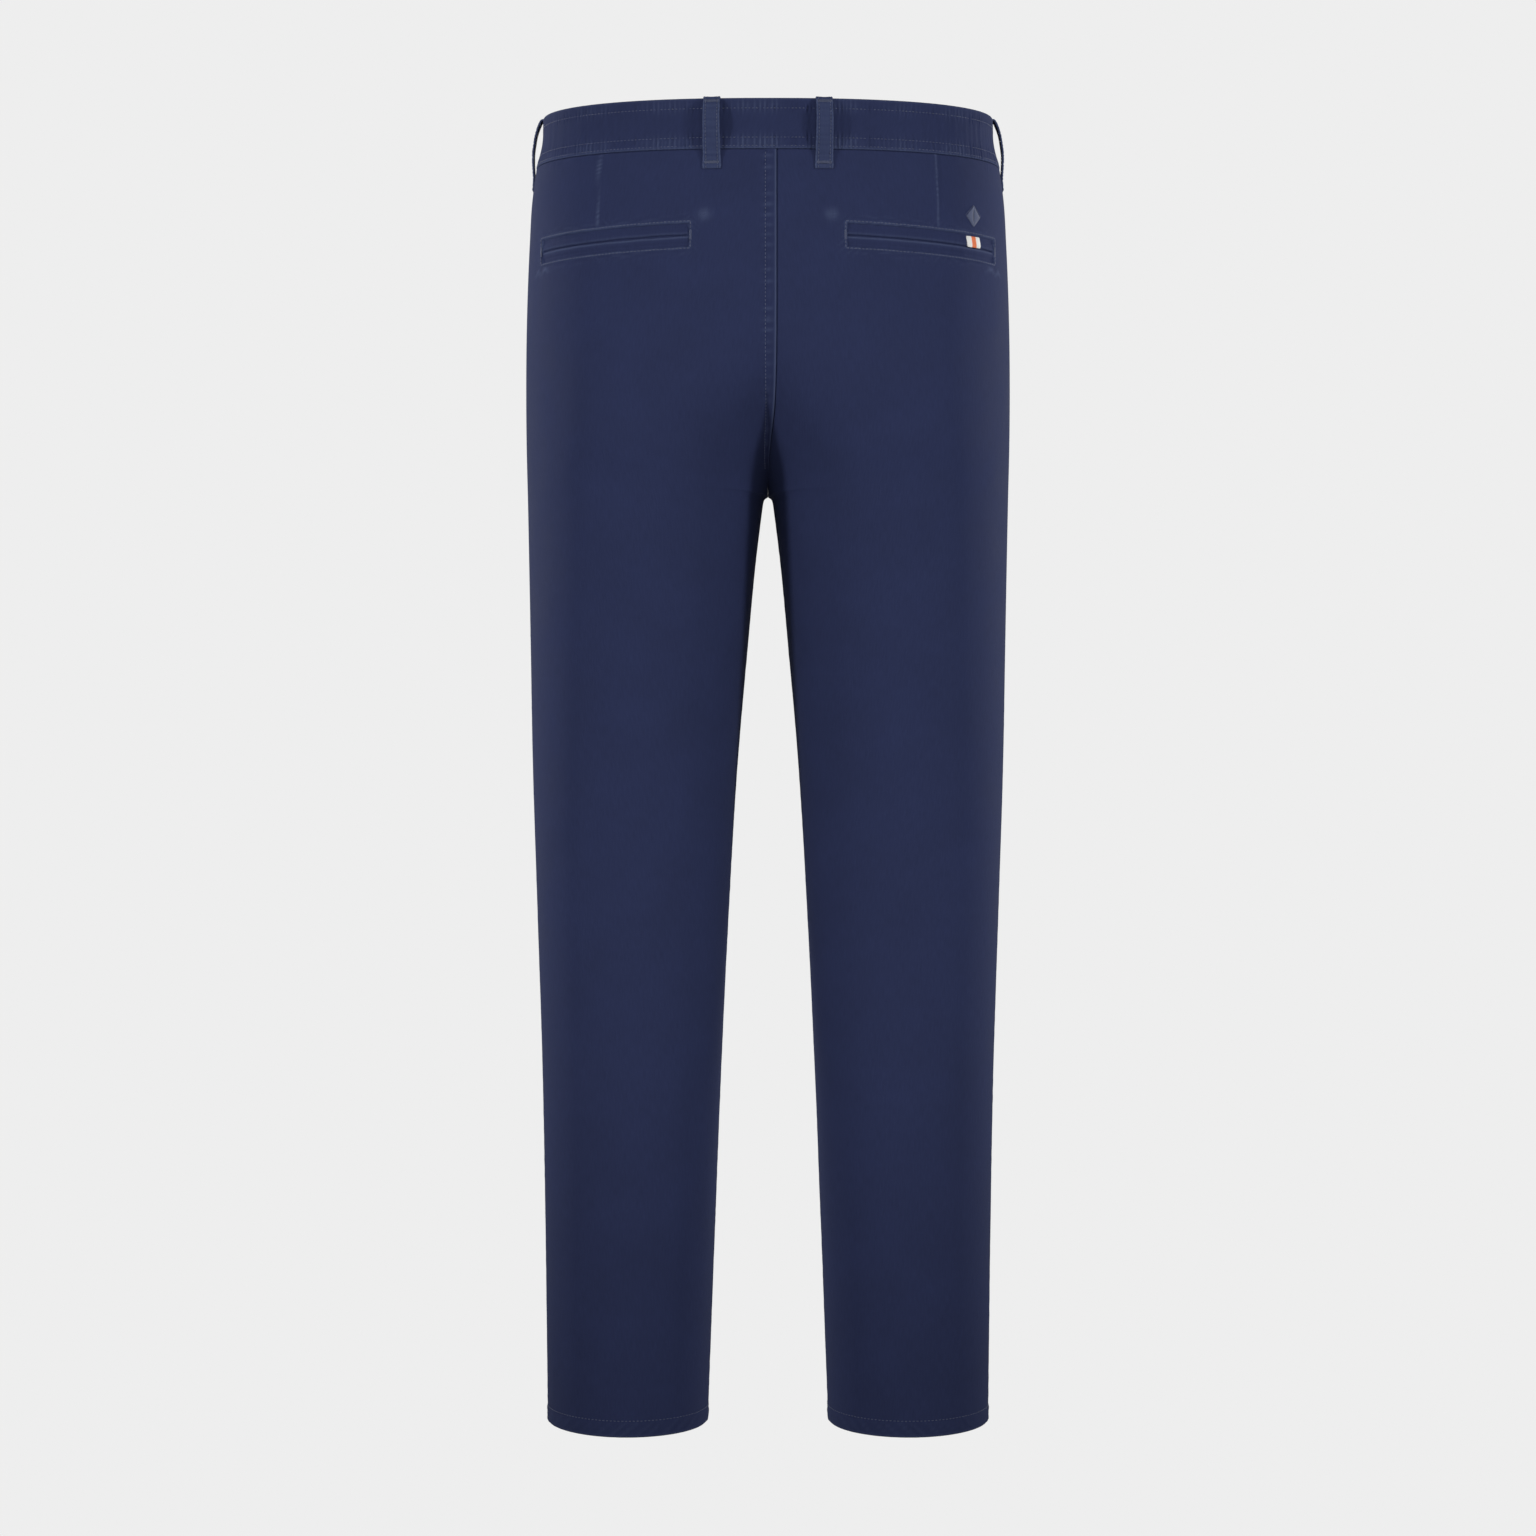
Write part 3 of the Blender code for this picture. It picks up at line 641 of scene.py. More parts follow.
# %% [markdown]
# ## Back panel relief
# The back carries a dart, the pocket opening, the bar tacks at its corners and a low round
# bump inboard of each pocket, perhaps where the pocket bag is caught. The dart's fold, the
# opening's edges, the small corner folds and the bump are painted lighter: painted highlight,
# with some wear on the edges.

# %% Back panel relief
POCKET_INNER = 61.0
POCKET_LENGTH = 136.0
POCKET_SLIT = -88.0
POCKET_DROP = 4.2
UPPER_WELT = 9.6
LOWER_WELT = 9.2
WINDOW_SINK = 1.7
POCKET_OUTER = POCKET_INNER + POCKET_LENGTH
DART_TOP = along_at(BACK, -24.0, 130.5)
DART_TIP = along_at(BACK, -76.0, 132.5)
DART_END = -76.0


def slit_height(s):
    """The pocket slit slopes down a little towards the side seam."""
    return POCKET_SLIT - POCKET_DROP * np.clip((s - POCKET_INNER) / POCKET_LENGTH, -0.1, 1.1)


def pocket_window(z, s):
    """Signed distance to the pocket opening's edge, negative inside."""
    up = z - slit_height(s)
    outside_z = np.maximum(up - UPPER_WELT, -up - LOWER_WELT)
    outside_s = np.maximum(POCKET_INNER - s, s - POCKET_OUTER)
    both = np.hypot(np.maximum(outside_z, 0), np.maximum(outside_s, 0))
    return np.where((outside_z > 0) & (outside_s > 0), both, np.maximum(outside_z, outside_s))


def back_relief(hand, z, s):
    seed = 11 if hand == LEFT else 29
    clear = first_clear(BACK, z)
    side = side_length(BACK, z) - s
    height, wear_and_highlight = lapped_seam(hand, z, s, 5, 1)
    height = height + tucked_under_band(z, s, seed)
    height += plain_seam(side, z, seed + 2)
    height += plain_seam(s - clear, z, seed + 3) * inseam_share(z)
    edge = pocket_window(z, s)
    height -= WINDOW_SINK * (1 - ease((edge + 0.9) / 1.2))
    height += 0.45 * ridge(edge, 1.6, 1.5) - 0.22 * ridge(edge, 3.4, 1.0)
    along_edge = 0.14 * ripple(s + 0.6 * z, 5.0, seed + 4)
    height += along_edge * ridge(edge, 3.0, 3.0)
    up = z - slit_height(s)
    # Painted highlight round the opening, brighter along its upper edge, with some wear, and
    # lighter flecks on the puckers beside it, painted highlight too.
    rubbed_and_lit = np.where(up > 0, 0.78, 0.50) + 0.34 * ripple(s + z, 3.0, seed + 5)
    wear_and_highlight = wear_and_highlight + rubbed_and_lit * ridge(edge, 0.9, 0.9)
    wear_and_highlight = wear_and_highlight + 0.16 * np.clip(ripple(s - z, 5.0, seed + 6), 0, 1) * ridge(edge, 4.0, 3.5)
    dart = DART_TIP + (DART_TOP - DART_TIP) * (z - DART_END) / (-24.0 - DART_END)
    fade = ease((z - DART_END) / 26) * ease((-18 - z) / 4)
    over = s - dart
    past = over >= 0
    rise = 0.55 * ease((over + 7) / 6) * ~past + 0.55 * (1 - ease(over / 0.9)) * past
    height += fade * (rise - 0.75 * np.exp(-np.maximum(over, 0) / 3.0) * past * ease(over / 0.9))
    height -= 0.7 * ridge(z, DART_END, 10) * ridge(over, 0, 7)
    # A light dashed line along the dart's fold: painted highlight with some wear.
    shown = ease((z - DART_END + 4) / 6) * ease((-18 - z) / 4)
    wear_and_highlight += (0.62 + 0.3 * ripple(z, 4.0, seed + 8)) * shown * ridge(over, -0.4, 0.9)
    for down, out in ((-14.0, 5.0), (-15.5, -7.0)):
        corner = slit_height(POCKET_OUTER) + down
        fold = ridge(z + 0.6 * np.abs(s - POCKET_OUTER + out), corner, 1.6)
        near = ridge(s, POCKET_OUTER - out, 4.5)
        height += 0.6 * fold * near
        # The crests of these small folds are painted lighter: painted highlight.
        wear_and_highlight = wear_and_highlight + 0.7 * fold * near
    tack = along_at(BACK, -72.0, 49.0)
    tack_bump = ridge(np.hypot(z + 72.0, s - tack), 0, 4.4)
    height += (0.5 + 0.25 * ripple(z, 4.0, seed + 9) * ripple(s, 4.0, seed + 10)) * tack_bump
    # The bump's crown is painted lighter: painted highlight.
    wear_and_highlight += 0.80 * tack_bump * (0.8 + 0.3 * ripple(z, 2.6, seed + 11) * ripple(s, 2.6, seed + 12))
    # A faint lighter line on the side seam's rolled edge: wear and painted highlight.
    wear_and_highlight += 0.10 * ridge(side, 2.2, 1.2)
    height += creases(BACK, hand, z, side)
    return height, wear_and_highlight


print("darts at", round(DART_TOP, 1), "mm from the centre back")

# %% [markdown]
# ## Front panel relief
# The front has the fly, sewn through along a J, and the slanted pocket mouth: a folded edge
# over the side piece, with two rows of stitches that leave shallow grooves.

# %% Front panel relief
SLANT_AT_BAND = 46.0
SLANT_BOTTOM = -185.0
FLY_REACH = 35.0
FLY_CURVE_TOP = -138.0
FLY_BOTTOM = -186.0
MOUTH_ROWS = (1.6, 7.6)


def mouth_of_pocket(z):
    """Distance of the slanted pocket mouth from the side seam."""
    return SLANT_AT_BAND * np.clip((z - SLANT_BOTTOM) / (BAND_BOTTOM - SLANT_BOTTOM), 0, 1.05)


def fly_stitch(share):
    """The J of the fly's topstitching: height and distance from the centre front."""
    drop = FLY_CURVE_TOP - FLY_BOTTOM
    straight = BAND_BOTTOM - FLY_CURVE_TOP
    curve = math.pi / 2 * math.sqrt((drop ** 2 + FLY_REACH ** 2) / 2)
    go = share * (straight + curve)
    turn = np.clip((go - straight) / curve, 0, 1) * math.pi / 2
    z = np.where(go < straight, BAND_BOTTOM - 1 - go, FLY_CURVE_TOP - drop * np.sin(turn))
    return z, FLY_REACH * np.cos(turn) - LAP * lap_share(z)


def front_relief(hand, z, s):
    seed = 43 if hand == LEFT else 61
    clear = first_clear(FRONT, z)
    mouth = mouth_of_pocket(z)
    side = side_length(FRONT, z) - s
    height, wear_and_highlight = lapped_seam(hand, z, s, 7, 0)
    height = height + tucked_under_band(z, s, seed)
    in_mouth = ease(mouth / 2)
    edge = side - mouth
    height += plain_seam(side, z, seed + 2) * (1 - in_mouth)
    height += plain_seam(s - clear, z, seed + 3) * inseam_share(z)
    folded = 0.55 * ease((10 - edge) / 3) - 0.8 * ridge(edge, 0, 0.7)
    folded -= sum(0.22 * ridge(edge, row, 0.6) for row in MOUTH_ROWS)
    folded += 0.13 * ripple(z, 6.0, seed + 4) * ridge(edge, 5, 4)
    height += folded * in_mouth
    # Lighter along the mouth's folded edge: wear and painted highlight.
    wear_and_highlight = wear_and_highlight + 0.6 * in_mouth * ridge(edge, 0.4, 0.8)
    if hand == LEFT:
        reach = np.where(z > FLY_CURVE_TOP, FLY_REACH, FLY_REACH * np.sqrt(np.clip(
            1 - ((FLY_CURVE_TOP - z) / (FLY_CURVE_TOP - FLY_BOTTOM)) ** 2, 0, 1)))
        over = s - reach + LAP * lap_share(z)
        in_fly = ease((z - FLY_BOTTOM) / 4)
        height += in_fly * (0.35 * (1 - ease((over + 1) / 2)) - 0.25 * ridge(over, -0.6, 0.7))
        height += in_fly * 0.15 * ripple(z, 7.0, seed + 5) * ridge(over, 0, 4)
    height += creases(FRONT, hand, z, side)
    return height, wear_and_highlight


print("pocket mouths slant over", SLANT_AT_BAND, "mm")

# %% [markdown]
# ## Hems and the surface of a panel
# The hem is turned up and sewn once. The stitches pull the two layers a little out of step, so
# the fold below them ropes: short slanting waves.

# %% Hem relief and panel surface
HEM = -1017.0
HEM_BACK_DIP = 5.0
HEM_FRONT_RISE = 2.0
HEM_FADE = 60.0
HEM_STITCH = 12.5


def hem_shift(z, face, share):
    """The hem hangs lower at the calf and lifts over the foot."""
    fade = ease((HEM + HEM_FADE - z) / HEM_FADE)
    swing = np.sin(math.pi * np.clip(share, 0, 1)) * fade
    return -HEM_BACK_DIP * swing if face == BACK else HEM_FRONT_RISE * swing


def hem_relief(face, lift, s):
    """lift is the height above the hem's edge."""
    near = ease((26 - lift) / 10)
    rope = ripple(s + 1.1 * lift, 8.5, 71 + face) * ridge(lift, 6.0, 5.5)
    height = near * (0.35 * ease((HEM_STITCH + 1.2 - lift) / 2.0) + 0.24 * rope)
    height -= 0.40 * ridge(lift, HEM_STITCH, 0.9) + 1.0 * (1 - ease(lift / 1.1))
    # Lighter at the folded edge (wear and painted highlight) and on the rope's crests (painted
    # highlight).
    return height, 0.35 * ridge(lift, 0.8, 0.9) + 0.15 * np.clip(rope, 0, 1)


def panel_relief(face, hand, z, s, lift):
    height, wear_and_highlight = (front_relief if face == FRONT else back_relief)(hand, z, s)
    hem_height, hem_wear_and_highlight = hem_relief(face, lift, s)
    return height + hem_height, np.clip(wear_and_highlight + hem_wear_and_highlight, 0, 1)


def on_panel(face, hand, z, s, out=0.0):
    """A point on a finished panel's outer face and the direction out of it."""
    z, s = np.broadcast_arrays(np.asarray(z, float), np.asarray(s, float))
    share = s / side_length(face, z)
    lift = z - HEM - hem_shift(z, face, share)
    height, _ = panel_relief(face, hand, z, s, lift)
    normal = skin_normal(face, z, hand * s)
    return skin(face, z, hand * s) + normal * (height + out)[..., None], normal


print("hem sewn", HEM_STITCH, "mm above its edge")

# %% [markdown]
# ## Leg panels
# The rows and columns of the grid are close together where something is sewn and far apart on
# open cloth. The near and far columns keep a fixed distance from their seams at every height.

# %% Panel grid
def steps(low, high, size):
    return np.linspace(low, high, max(int(round(abs(high - low) / size)), 1) + 1)[:-1]


PANEL_ROWS = np.concatenate((
    steps(-15.0, -19.0, 1.3), steps(-19.0, -26.0, 0.7), steps(-26.0, -70.0, 1.6),
    steps(-70.0, -102.0, 0.8), steps(-102.0, -258.0, 2.3), steps(-258.0, -274.0, 1.8),
    CROTCH + np.array((5.2, 4.2, 3.2, 2.4, 1.7, 1.1, 0.7, 0.3, 0.0, -0.25, -0.6, -1.1, -1.8,
                       -2.7, -3.8, -5.2, -7.0, -9.5)),
    steps(-293.0, -400.0, 4.2), steps(-400.0, -990.0, 6.2), steps(-990.0, -1014.0, 1.3),
    steps(-1014.0, HEM, 0.5), [HEM]))
NEAR_COLUMNS = np.array((0, 0.3, 0.7, 1.2, 2.0, 3.2, 4.6, 6.0, 7.2, 8.2, 8.8, 9.6, 10.8, 12.6,
                         15.0, 18.5, 23.0))
FAR_COLUMNS = np.array((23.0, 18.0, 14.0, 11.0, 9.0, 7.6, 6.2, 4.6, 3.0, 1.8, 1.0, 0.4, 0))


def middle_shares(marks, width, count):
    """Shares of the open cloth's width, closer together near the marks."""
    place = np.linspace(0, width, 2000)
    density = 1 + sum(3.4 * ridge(place, mark, 6.5) for mark in marks)
    total = np.concatenate(([0], np.cumsum((density[1:] + density[:-1]) / 2)))
    return np.interp(np.linspace(0, total[-1], count), total, place)[1:-1] / width


def panel_edges(face, hand, z):
    """Where a panel starts and ends at each height, and the same for the cut cloth."""
    lap = LAP * lap_share(z)
    start = first_clear(face, z) - hand * lap
    if hand == RIGHT:
        start = start - 5.5 * ease(6 * lap_share(z))
    end = side_length(face, z) - HALF_GAP
    if face == FRONT:
        end = end - mouth_of_pocket(z)
    return start, end


def panel_places(face, hand):
    z = PANEL_ROWS[:, None]
    start, end = panel_edges(face, hand, z)
    offset = NEAR_COLUMNS[-1]
    open_width = end - start - offset - FAR_COLUMNS[0]
    marks = (POCKET_INNER - offset, POCKET_OUTER - offset, DART_TIP - offset)
    if face == FRONT:
        marks = (FLY_REACH - offset, 150.0)
    shares = middle_shares(marks, float(open_width[60, 0]), 70)
    s = np.concatenate((start + NEAR_COLUMNS, start + offset + open_width * shares,
                        end - FAR_COLUMNS), 1)
    share = (s - start) / (end - start)
    slope = (slit_height(s) - POCKET_SLIT) * ridge(z, POCKET_SLIT, 26.0) * (face == BACK)
    return z + hem_shift(z, face, share) + slope, s, z - HEM


places = {(face, hand): panel_places(face, hand)
          for face in (FRONT, BACK) for hand in (LEFT, RIGHT)}
print("panel grid", places[BACK, LEFT][1].shape)

# %% Leg panels
def finish_cloth(piece, material, slot, *nodes):
    """Gives a piece its material and its body and hides the nodes that it stands for.
    The slot is not used.
    """
    piece.data.materials.append(materials[material])
    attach(piece, "root")
    if nodes:
        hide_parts(*nodes)
    pieces[piece.name] = piece
    return piece


for (face, hand), (z, s, lift) in places.items():
    height, wear_and_highlight = panel_relief(face, hand, z, s, lift)
    base = skin(face, z, hand * s)
    normal = skin_normal(face, z, hand * s)
    flat = np.stack((hand * face * (side_length(face, z) - s), z), -1)
    side_name = "front" if face == FRONT else "back"
    node = f"{side_name}_panel_{HAND_NAMES[hand]}"
    piece = cloth_wall(f"{side_name}_{HAND_NAMES[hand]}", base + normal * height[..., None],
                       base + normal * (height - WALL)[..., None], flat, wear_and_highlight)
    finish_cloth(piece, "twill", "twill", node)

# %% [markdown]
# ## Waistband
# The band is one strip, folded over a stiff interlining and sewn with three rows. Because the
# rows pull against the interlining it is never flat: fine upright puckers run all the way
# round, strongest at the back, and their crests are painted lighter as highlights. Its right
# end dives under the left end at the front.

# %% Waistband
BAND_WALL = 2.0
UNDERLAP = 38.0
UNDERLAP_EASE = 40.0
BAND_STITCHES = (BAND_TOP - 8.0, BAND_BOTTOM + 9.0, BAND_BOTTOM + 2.2)


def band_ring(z, run):
    """Points and outward directions round the waist, from the centre front by the left."""
    z, run = np.broadcast_arrays(np.asarray(z, float), np.asarray(run, float))
    front, back = side_length(FRONT, z), side_length(BACK, z)
    on_back = (run >= front) & (run < front + 2 * back)
    past = run >= front + 2 * back
    front_along = np.where(past, run - 2 * (front + back), run)
    back_along = front + back - run
    point = np.where(on_back[..., None], skin(BACK, z, back_along), skin(FRONT, z, front_along))
    normal = np.where(on_back[..., None], skin_normal(BACK, z, back_along),
                      skin_normal(FRONT, z, front_along))
    return point, normal


def band_length(z):
    return 2 * (side_length(FRONT, z) + side_length(BACK, z))


def band_relief(z, run):
    whole = float(band_length(0.0))
    from_back = run - band_length(z) / 2  # measured so that the puckers stand upright
    behind = 0.55 + 0.45 * ridge(from_back, 0, 75)
    fine = ripple(from_back, 3.4, 81, 7, 0.35)
    coarse = ripple(from_back, 7.5, 82)
    height = 0.12 * coarse * (1 - ((z - 1) / 26) ** 2)
    sewn = sum(ridge(z, row, 3.2) for row in BAND_STITCHES)
    height += 0.34 * behind * fine * np.clip(sewn, 0, 1.1)
    height -= sum(0.24 * ridge(z, row, 0.7) for row in BAND_STITCHES)
    height += 0.35 * ease((BAND_BOTTOM + 12 - z) / 12) + 0.15 * ridge(z, BAND_BOTTOM + 5, 2.5)
    from_edge = np.minimum(BAND_TOP - z, z - BAND_BOTTOM)
    height -= 0.9 * (1 - np.sqrt(np.clip(1 - (1 - np.clip(from_edge / 1.1, 0, 1)) ** 2, 0, 1)))
    dive = ease((run - (whole - LAP - UNDERLAP_EASE)) / (UNDERLAP_EASE - LAP))
    left_end = ease((1.2 - (run + LAP)) / 1.2) * 0.8
    # Lighter along both edges of the band: wear and painted highlight.
    wear_and_highlight = 0.50 * ridge(z, BAND_BOTTOM + 0.5, 0.8) + 0.30 * ridge(z, BAND_TOP - 0.6, 0.9)
    patchy = ease(0.55 + 0.6 * ripple(from_back, 60.0, 83))
    patchy = patchy * (1 - ease((np.abs(from_back) - 150) / 60))
    # Near the rows the band is painted lighter in patches, most on the pucker crests and at the
    # back: painted highlight, with some wear.
    rubbed_and_lit = np.clip(ridge(z, BAND_BOTTOM + 5, 5.5) + 0.7 * ridge(z, BAND_TOP - 6, 5.0), 0, 1)
    wear_and_highlight = wear_and_highlight + (0.16 + 0.62 * np.clip(fine, 0, 1.3)) * rubbed_and_lit * behind * patchy
    return height - left_end - dive * 2.6, np.clip(wear_and_highlight, 0, 1)


def on_band(z, run, out=0.0):
    z, run = np.broadcast_arrays(np.asarray(z, float), np.asarray(run, float))
    point, normal = band_ring(z, run)
    height, _ = band_relief(z, run)
    return point + normal * (height + out)[..., None], normal


band_rows = np.concatenate((BAND_TOP - np.array((0, 0.12, 0.35, 0.7, 1.1)),
                            steps(BAND_TOP - 2, BAND_BOTTOM + 1.6, 1.4),
                            BAND_BOTTOM + np.array((1.1, 0.7, 0.35, 0.12, 0))))[:, None]
PUCKERED_FROM, PUCKERED_TO = 0.26, 0.74
run_shares = np.concatenate((np.linspace(0, PUCKERED_FROM, 140)[:-1],
                             np.linspace(PUCKERED_FROM, PUCKERED_TO, 860)[:-1],
                             np.linspace(PUCKERED_TO, 1, 140)))[None, :]
run = -LAP + run_shares * (band_length(band_rows) + UNDERLAP + LAP)
base, normal = band_ring(band_rows, run)
height, wear_and_highlight = band_relief(band_rows, run)
flat = np.stack((run, band_rows + 0 * run), -1)
piece = cloth_wall("waistband_cloth", base + normal * height[..., None],
                   base + normal * (height - BAND_WALL)[..., None], flat, wear_and_highlight)
finish_cloth(piece, "twill", "twill", "waistband")

# %% [markdown]
# ## Side pieces, hem turn-ups and fly layers
# Behind the slanted mouths lies the side piece of the pocket, level with the back panel at the
# side seam and under the front panel at the mouth. The turned-up hem and the fly's layers lie
# behind their panels too. All are the same kind of grid, set in by their place in the stack.

# %% Layers behind the panels
def layer(name, base, normal, depth, wall, flat, closed=False):
    depth = np.broadcast_to(depth, base.shape[:2])
    return cloth_wall(name, base - normal * depth[..., None],
                      base - normal * (depth + wall)[..., None], flat, 0.0, closed)


for hand in (LEFT, RIGHT):
    z = np.concatenate((steps(-15, -24, 1.0), steps(-24, -207, 3.0), [-207.0]))[:, None]
    mouth = mouth_of_pocket(z)
    end = side_length(FRONT, z) - HALF_GAP
    s = end - (mouth + 16) * np.linspace(1, 0, 40)[None, :]
    side = end - s
    depth = 1.75 * ease((side + 1.5) / np.clip(0.75 * mouth, 2.0, 60))
    shown = ease(mouth / 12)
    depth = depth + 1.9 * (1 - ease(side / ROLL)) * shown + 2.7 * ease((z + 22.6) / 2.2)
    depth = depth - 0.35 * ripple(z + 0.4 * s, 26.0, 91 + hand) * shown * ease(side / 12)
    base, normal = skin(FRONT, z, hand * s), skin_normal(FRONT, z, hand * s)
    flat = np.stack((-hand * side, z + 0 * s), -1)
    piece = layer(f"pocket_side_piece_{HAND_NAMES[hand]}", base, normal, depth, 0.8, flat)
    finish_cloth(piece, "twill", "twill", f"front_pocket_facing_{HAND_NAMES[hand]}")

    columns = 70
    rows = []
    for lift in (14.0, 13.4, 12.0, 9.0, 6.0, 3.0, 1.4, 0.7):
        ring = []
        for face, share in ((FRONT, np.linspace(0, 1, columns)),
                            (BACK, np.linspace(1, 0, columns))):
            start, end = first_clear(face, HEM), side_length(face, HEM) - HALF_GAP
            along = start + share * (end - start)
            z = HEM + lift + hem_shift(HEM, face, share)
            ring.append((skin(face, z, hand * along), skin_normal(face, z, hand * along)))
        rows.append([np.concatenate(part) for part in zip(*ring)])
    base = np.array([row[0] for row in rows])
    normal = np.array([row[1] for row in rows])
    around = np.linalg.norm(np.diff(base[0], axis=0, append=base[0][:1]), axis=-1).cumsum()
    lifts = base[..., 2] - base[-1, :, 2]
    flat = np.stack((np.broadcast_to(around, lifts.shape), lifts), -1)
    depth = 0.85 - 0.10 * ripple(around, 8.5, 95 + hand)[None, :] * ridge(lifts, 6, 5)
    piece = layer(f"hem_fold_{HAND_NAMES[hand]}", base, normal, depth, 0.8, flat, True)
    finish_cloth(piece, "twill", "twill", f"hem_turn_up_{HAND_NAMES[hand]}")

# %% Fly layers
FLY_FACING = np.array(((-21, 38), (-80, 38), (-135, 37), (-157, 31), (-172, 21), (-182, 9),
                       (-187, 1)), float)
ZIP_MIDDLE = 4.5
ZIP_HALF = 13.0
FLY_LAYER_TOP = -21
FLY_FACING_END = -187.0
FLY_SHIELD_END = -176.0
ZIP_TAPE_TOP = -24
ZIP_TAPE_END = -174.0
fly_z = np.concatenate((steps(FLY_LAYER_TOP, FLY_FACING_END, 3.0), [FLY_FACING_END]))[:, None]
facing_reach = np.interp(-fly_z, -FLY_FACING[:, 0], FLY_FACING[:, 1])
shield_z = np.concatenate((steps(FLY_LAYER_TOP, FLY_SHIELD_END, 4.0), [FLY_SHIELD_END]))[:, None]
zip_z = np.concatenate((steps(ZIP_TAPE_TOP, ZIP_TAPE_END, 4.0), [ZIP_TAPE_END]))[:, None]
fly_layers = (
    ("fly_facing_cloth", "fly_facing", fly_z, -5.5, facing_reach, 2.9, 1.0, "twill"),
    ("zip_tapes", "zip_tape", zip_z, ZIP_MIDDLE - ZIP_HALF, ZIP_MIDDLE + ZIP_HALF, 6.5, 0.8,
     "zip_tape"),
    ("fly_shield_cloth", "fly_shield", shield_z, -12.0, 36.0, 7.6, 1.4, "twill"),
)
for name, node, z, low, high, depth, wall, slot in fly_layers:
    s = low + (high - low) * np.linspace(0, 1, 20)[None, :] + 0 * z
    z = z + 0 * s
    base, normal = skin(FRONT, z, s), skin_normal(FRONT, z, s)
    wavy = depth + 0.12 * ripple(z, 24.0, 97)
    piece = layer(name, base, normal, wavy, wall, np.stack((s, z), -1))
    finish_cloth(piece, "twill", slot, node)

# %% [markdown]
# ## Back pocket welts
# Each welt is a narrow roll of doubled cloth let into the opening. The two rolls meet at the
# slit, where they are fullest and throw the dark line; the ends run under the panel.

# %% Welts
def welt(hand, upper):
    reach = UPPER_WELT if upper else LOWER_WELT
    up = np.linspace(0, 1, 15)[:, None]
    s = np.linspace(POCKET_INNER - 0.6, POCKET_OUTER + 0.6, 120)[None, :]
    slit = 0.22 + 0.25 * np.abs(ripple(s, 70, 101 + hand))
    rise = slit + up * (reach + 0.4 - slit)
    rise = rise if upper else -rise
    z = slit_height(s) + rise
    roll = np.sqrt(np.clip(1 - (1 - np.clip(up * reach / 2.3, 0, 1)) ** 2, 0, 1))
    full = 1.15 * roll - 0.75 * ease((up - 0.35) / 0.65) - 0.35 * ridge(up, 0.62, 0.12)
    full = full + 0.10 * ripple(s, 9.0, 103 + hand) * up
    height = -WINDOW_SINK + 0.15 + full
    back = np.full_like(height, -WINDOW_SINK + 0.05)
    base, normal = skin(BACK, z, hand * s), skin_normal(BACK, z, hand * s)
    # Each roll is painted lighter where it is fullest, the lower roll more: painted highlight,
    # with some wear on the lip.
    wear_and_highlight = 0.75 * ridge(up * reach, 1.2, 0.8) * (0.45 if upper else 1.0) + 0 * s
    return cloth_wall(f"welt_{'upper' if upper else 'lower'}_{HAND_NAMES[hand]}",
                      base + normal * height[..., None],
                      base + normal * np.minimum(back, height - 0.1)[..., None],
                      np.stack((hand * s + 0 * z, z), -1), wear_and_highlight), base


for hand in (LEFT, RIGHT):
    for upper in (True, False):
        piece, base = welt(hand, upper)
        which = "upper" if upper else "lower"
        node = f"back_pocket_{which}_welt_{HAND_NAMES[hand]}"
        finish_cloth(piece, "twill", "twill", node)
print("four welts")

# %% [markdown]
# ## Belt loops
# A loop is a strip folded in three, so it is thick, with two raised edges and two rows of
# stitches. It is caught under the band's top edge, stands off the band for the belt and is
# turned under at its foot. A ring of points, the strip's cross section, is swept down its side
# view.

# %% Belt loops
LoopRow = namedtuple("LoopRow", "out_share out z")
LOOP_VIEW = (
    LoopRow(0, -1.6, 19.2), LoopRow(0, -0.5, 19.5), LoopRow(0, 0.7, 19.0),
    LoopRow(0.30, 0, 17.0), LoopRow(0.60, 0, 13.0), LoopRow(0.90, 0, 7.0),
    LoopRow(1.0, 0, 1.0), LoopRow(0.93, 0, -6.0), LoopRow(0.66, 0, -12.5),
    LoopRow(0.32, 0, -19.5), LoopRow(0.10, -0.1, -25.0), LoopRow(0, -0.3, -29.5),
    LoopRow(0, -0.6, -36.0),
)
Loop = namedtuple("Loop", "place face hand at_side distance gap")
LOOPS = (
    Loop("back_left", BACK, LEFT, False, 43.3, 6.6),
    Loop("back_right", BACK, RIGHT, False, 43.3, 6.6),
    Loop("front_left", FRONT, LEFT, False, 75.0, 7.7),
    Loop("front_right", FRONT, RIGHT, False, 75.0, 7.7),
    Loop("side_left", BACK, LEFT, True, 0.0, 5.4),
    Loop("side_right", BACK, RIGHT, True, 0.0, 5.4),
)
LOOP_HALF = 6.5
LOOP_WALL = 1.7


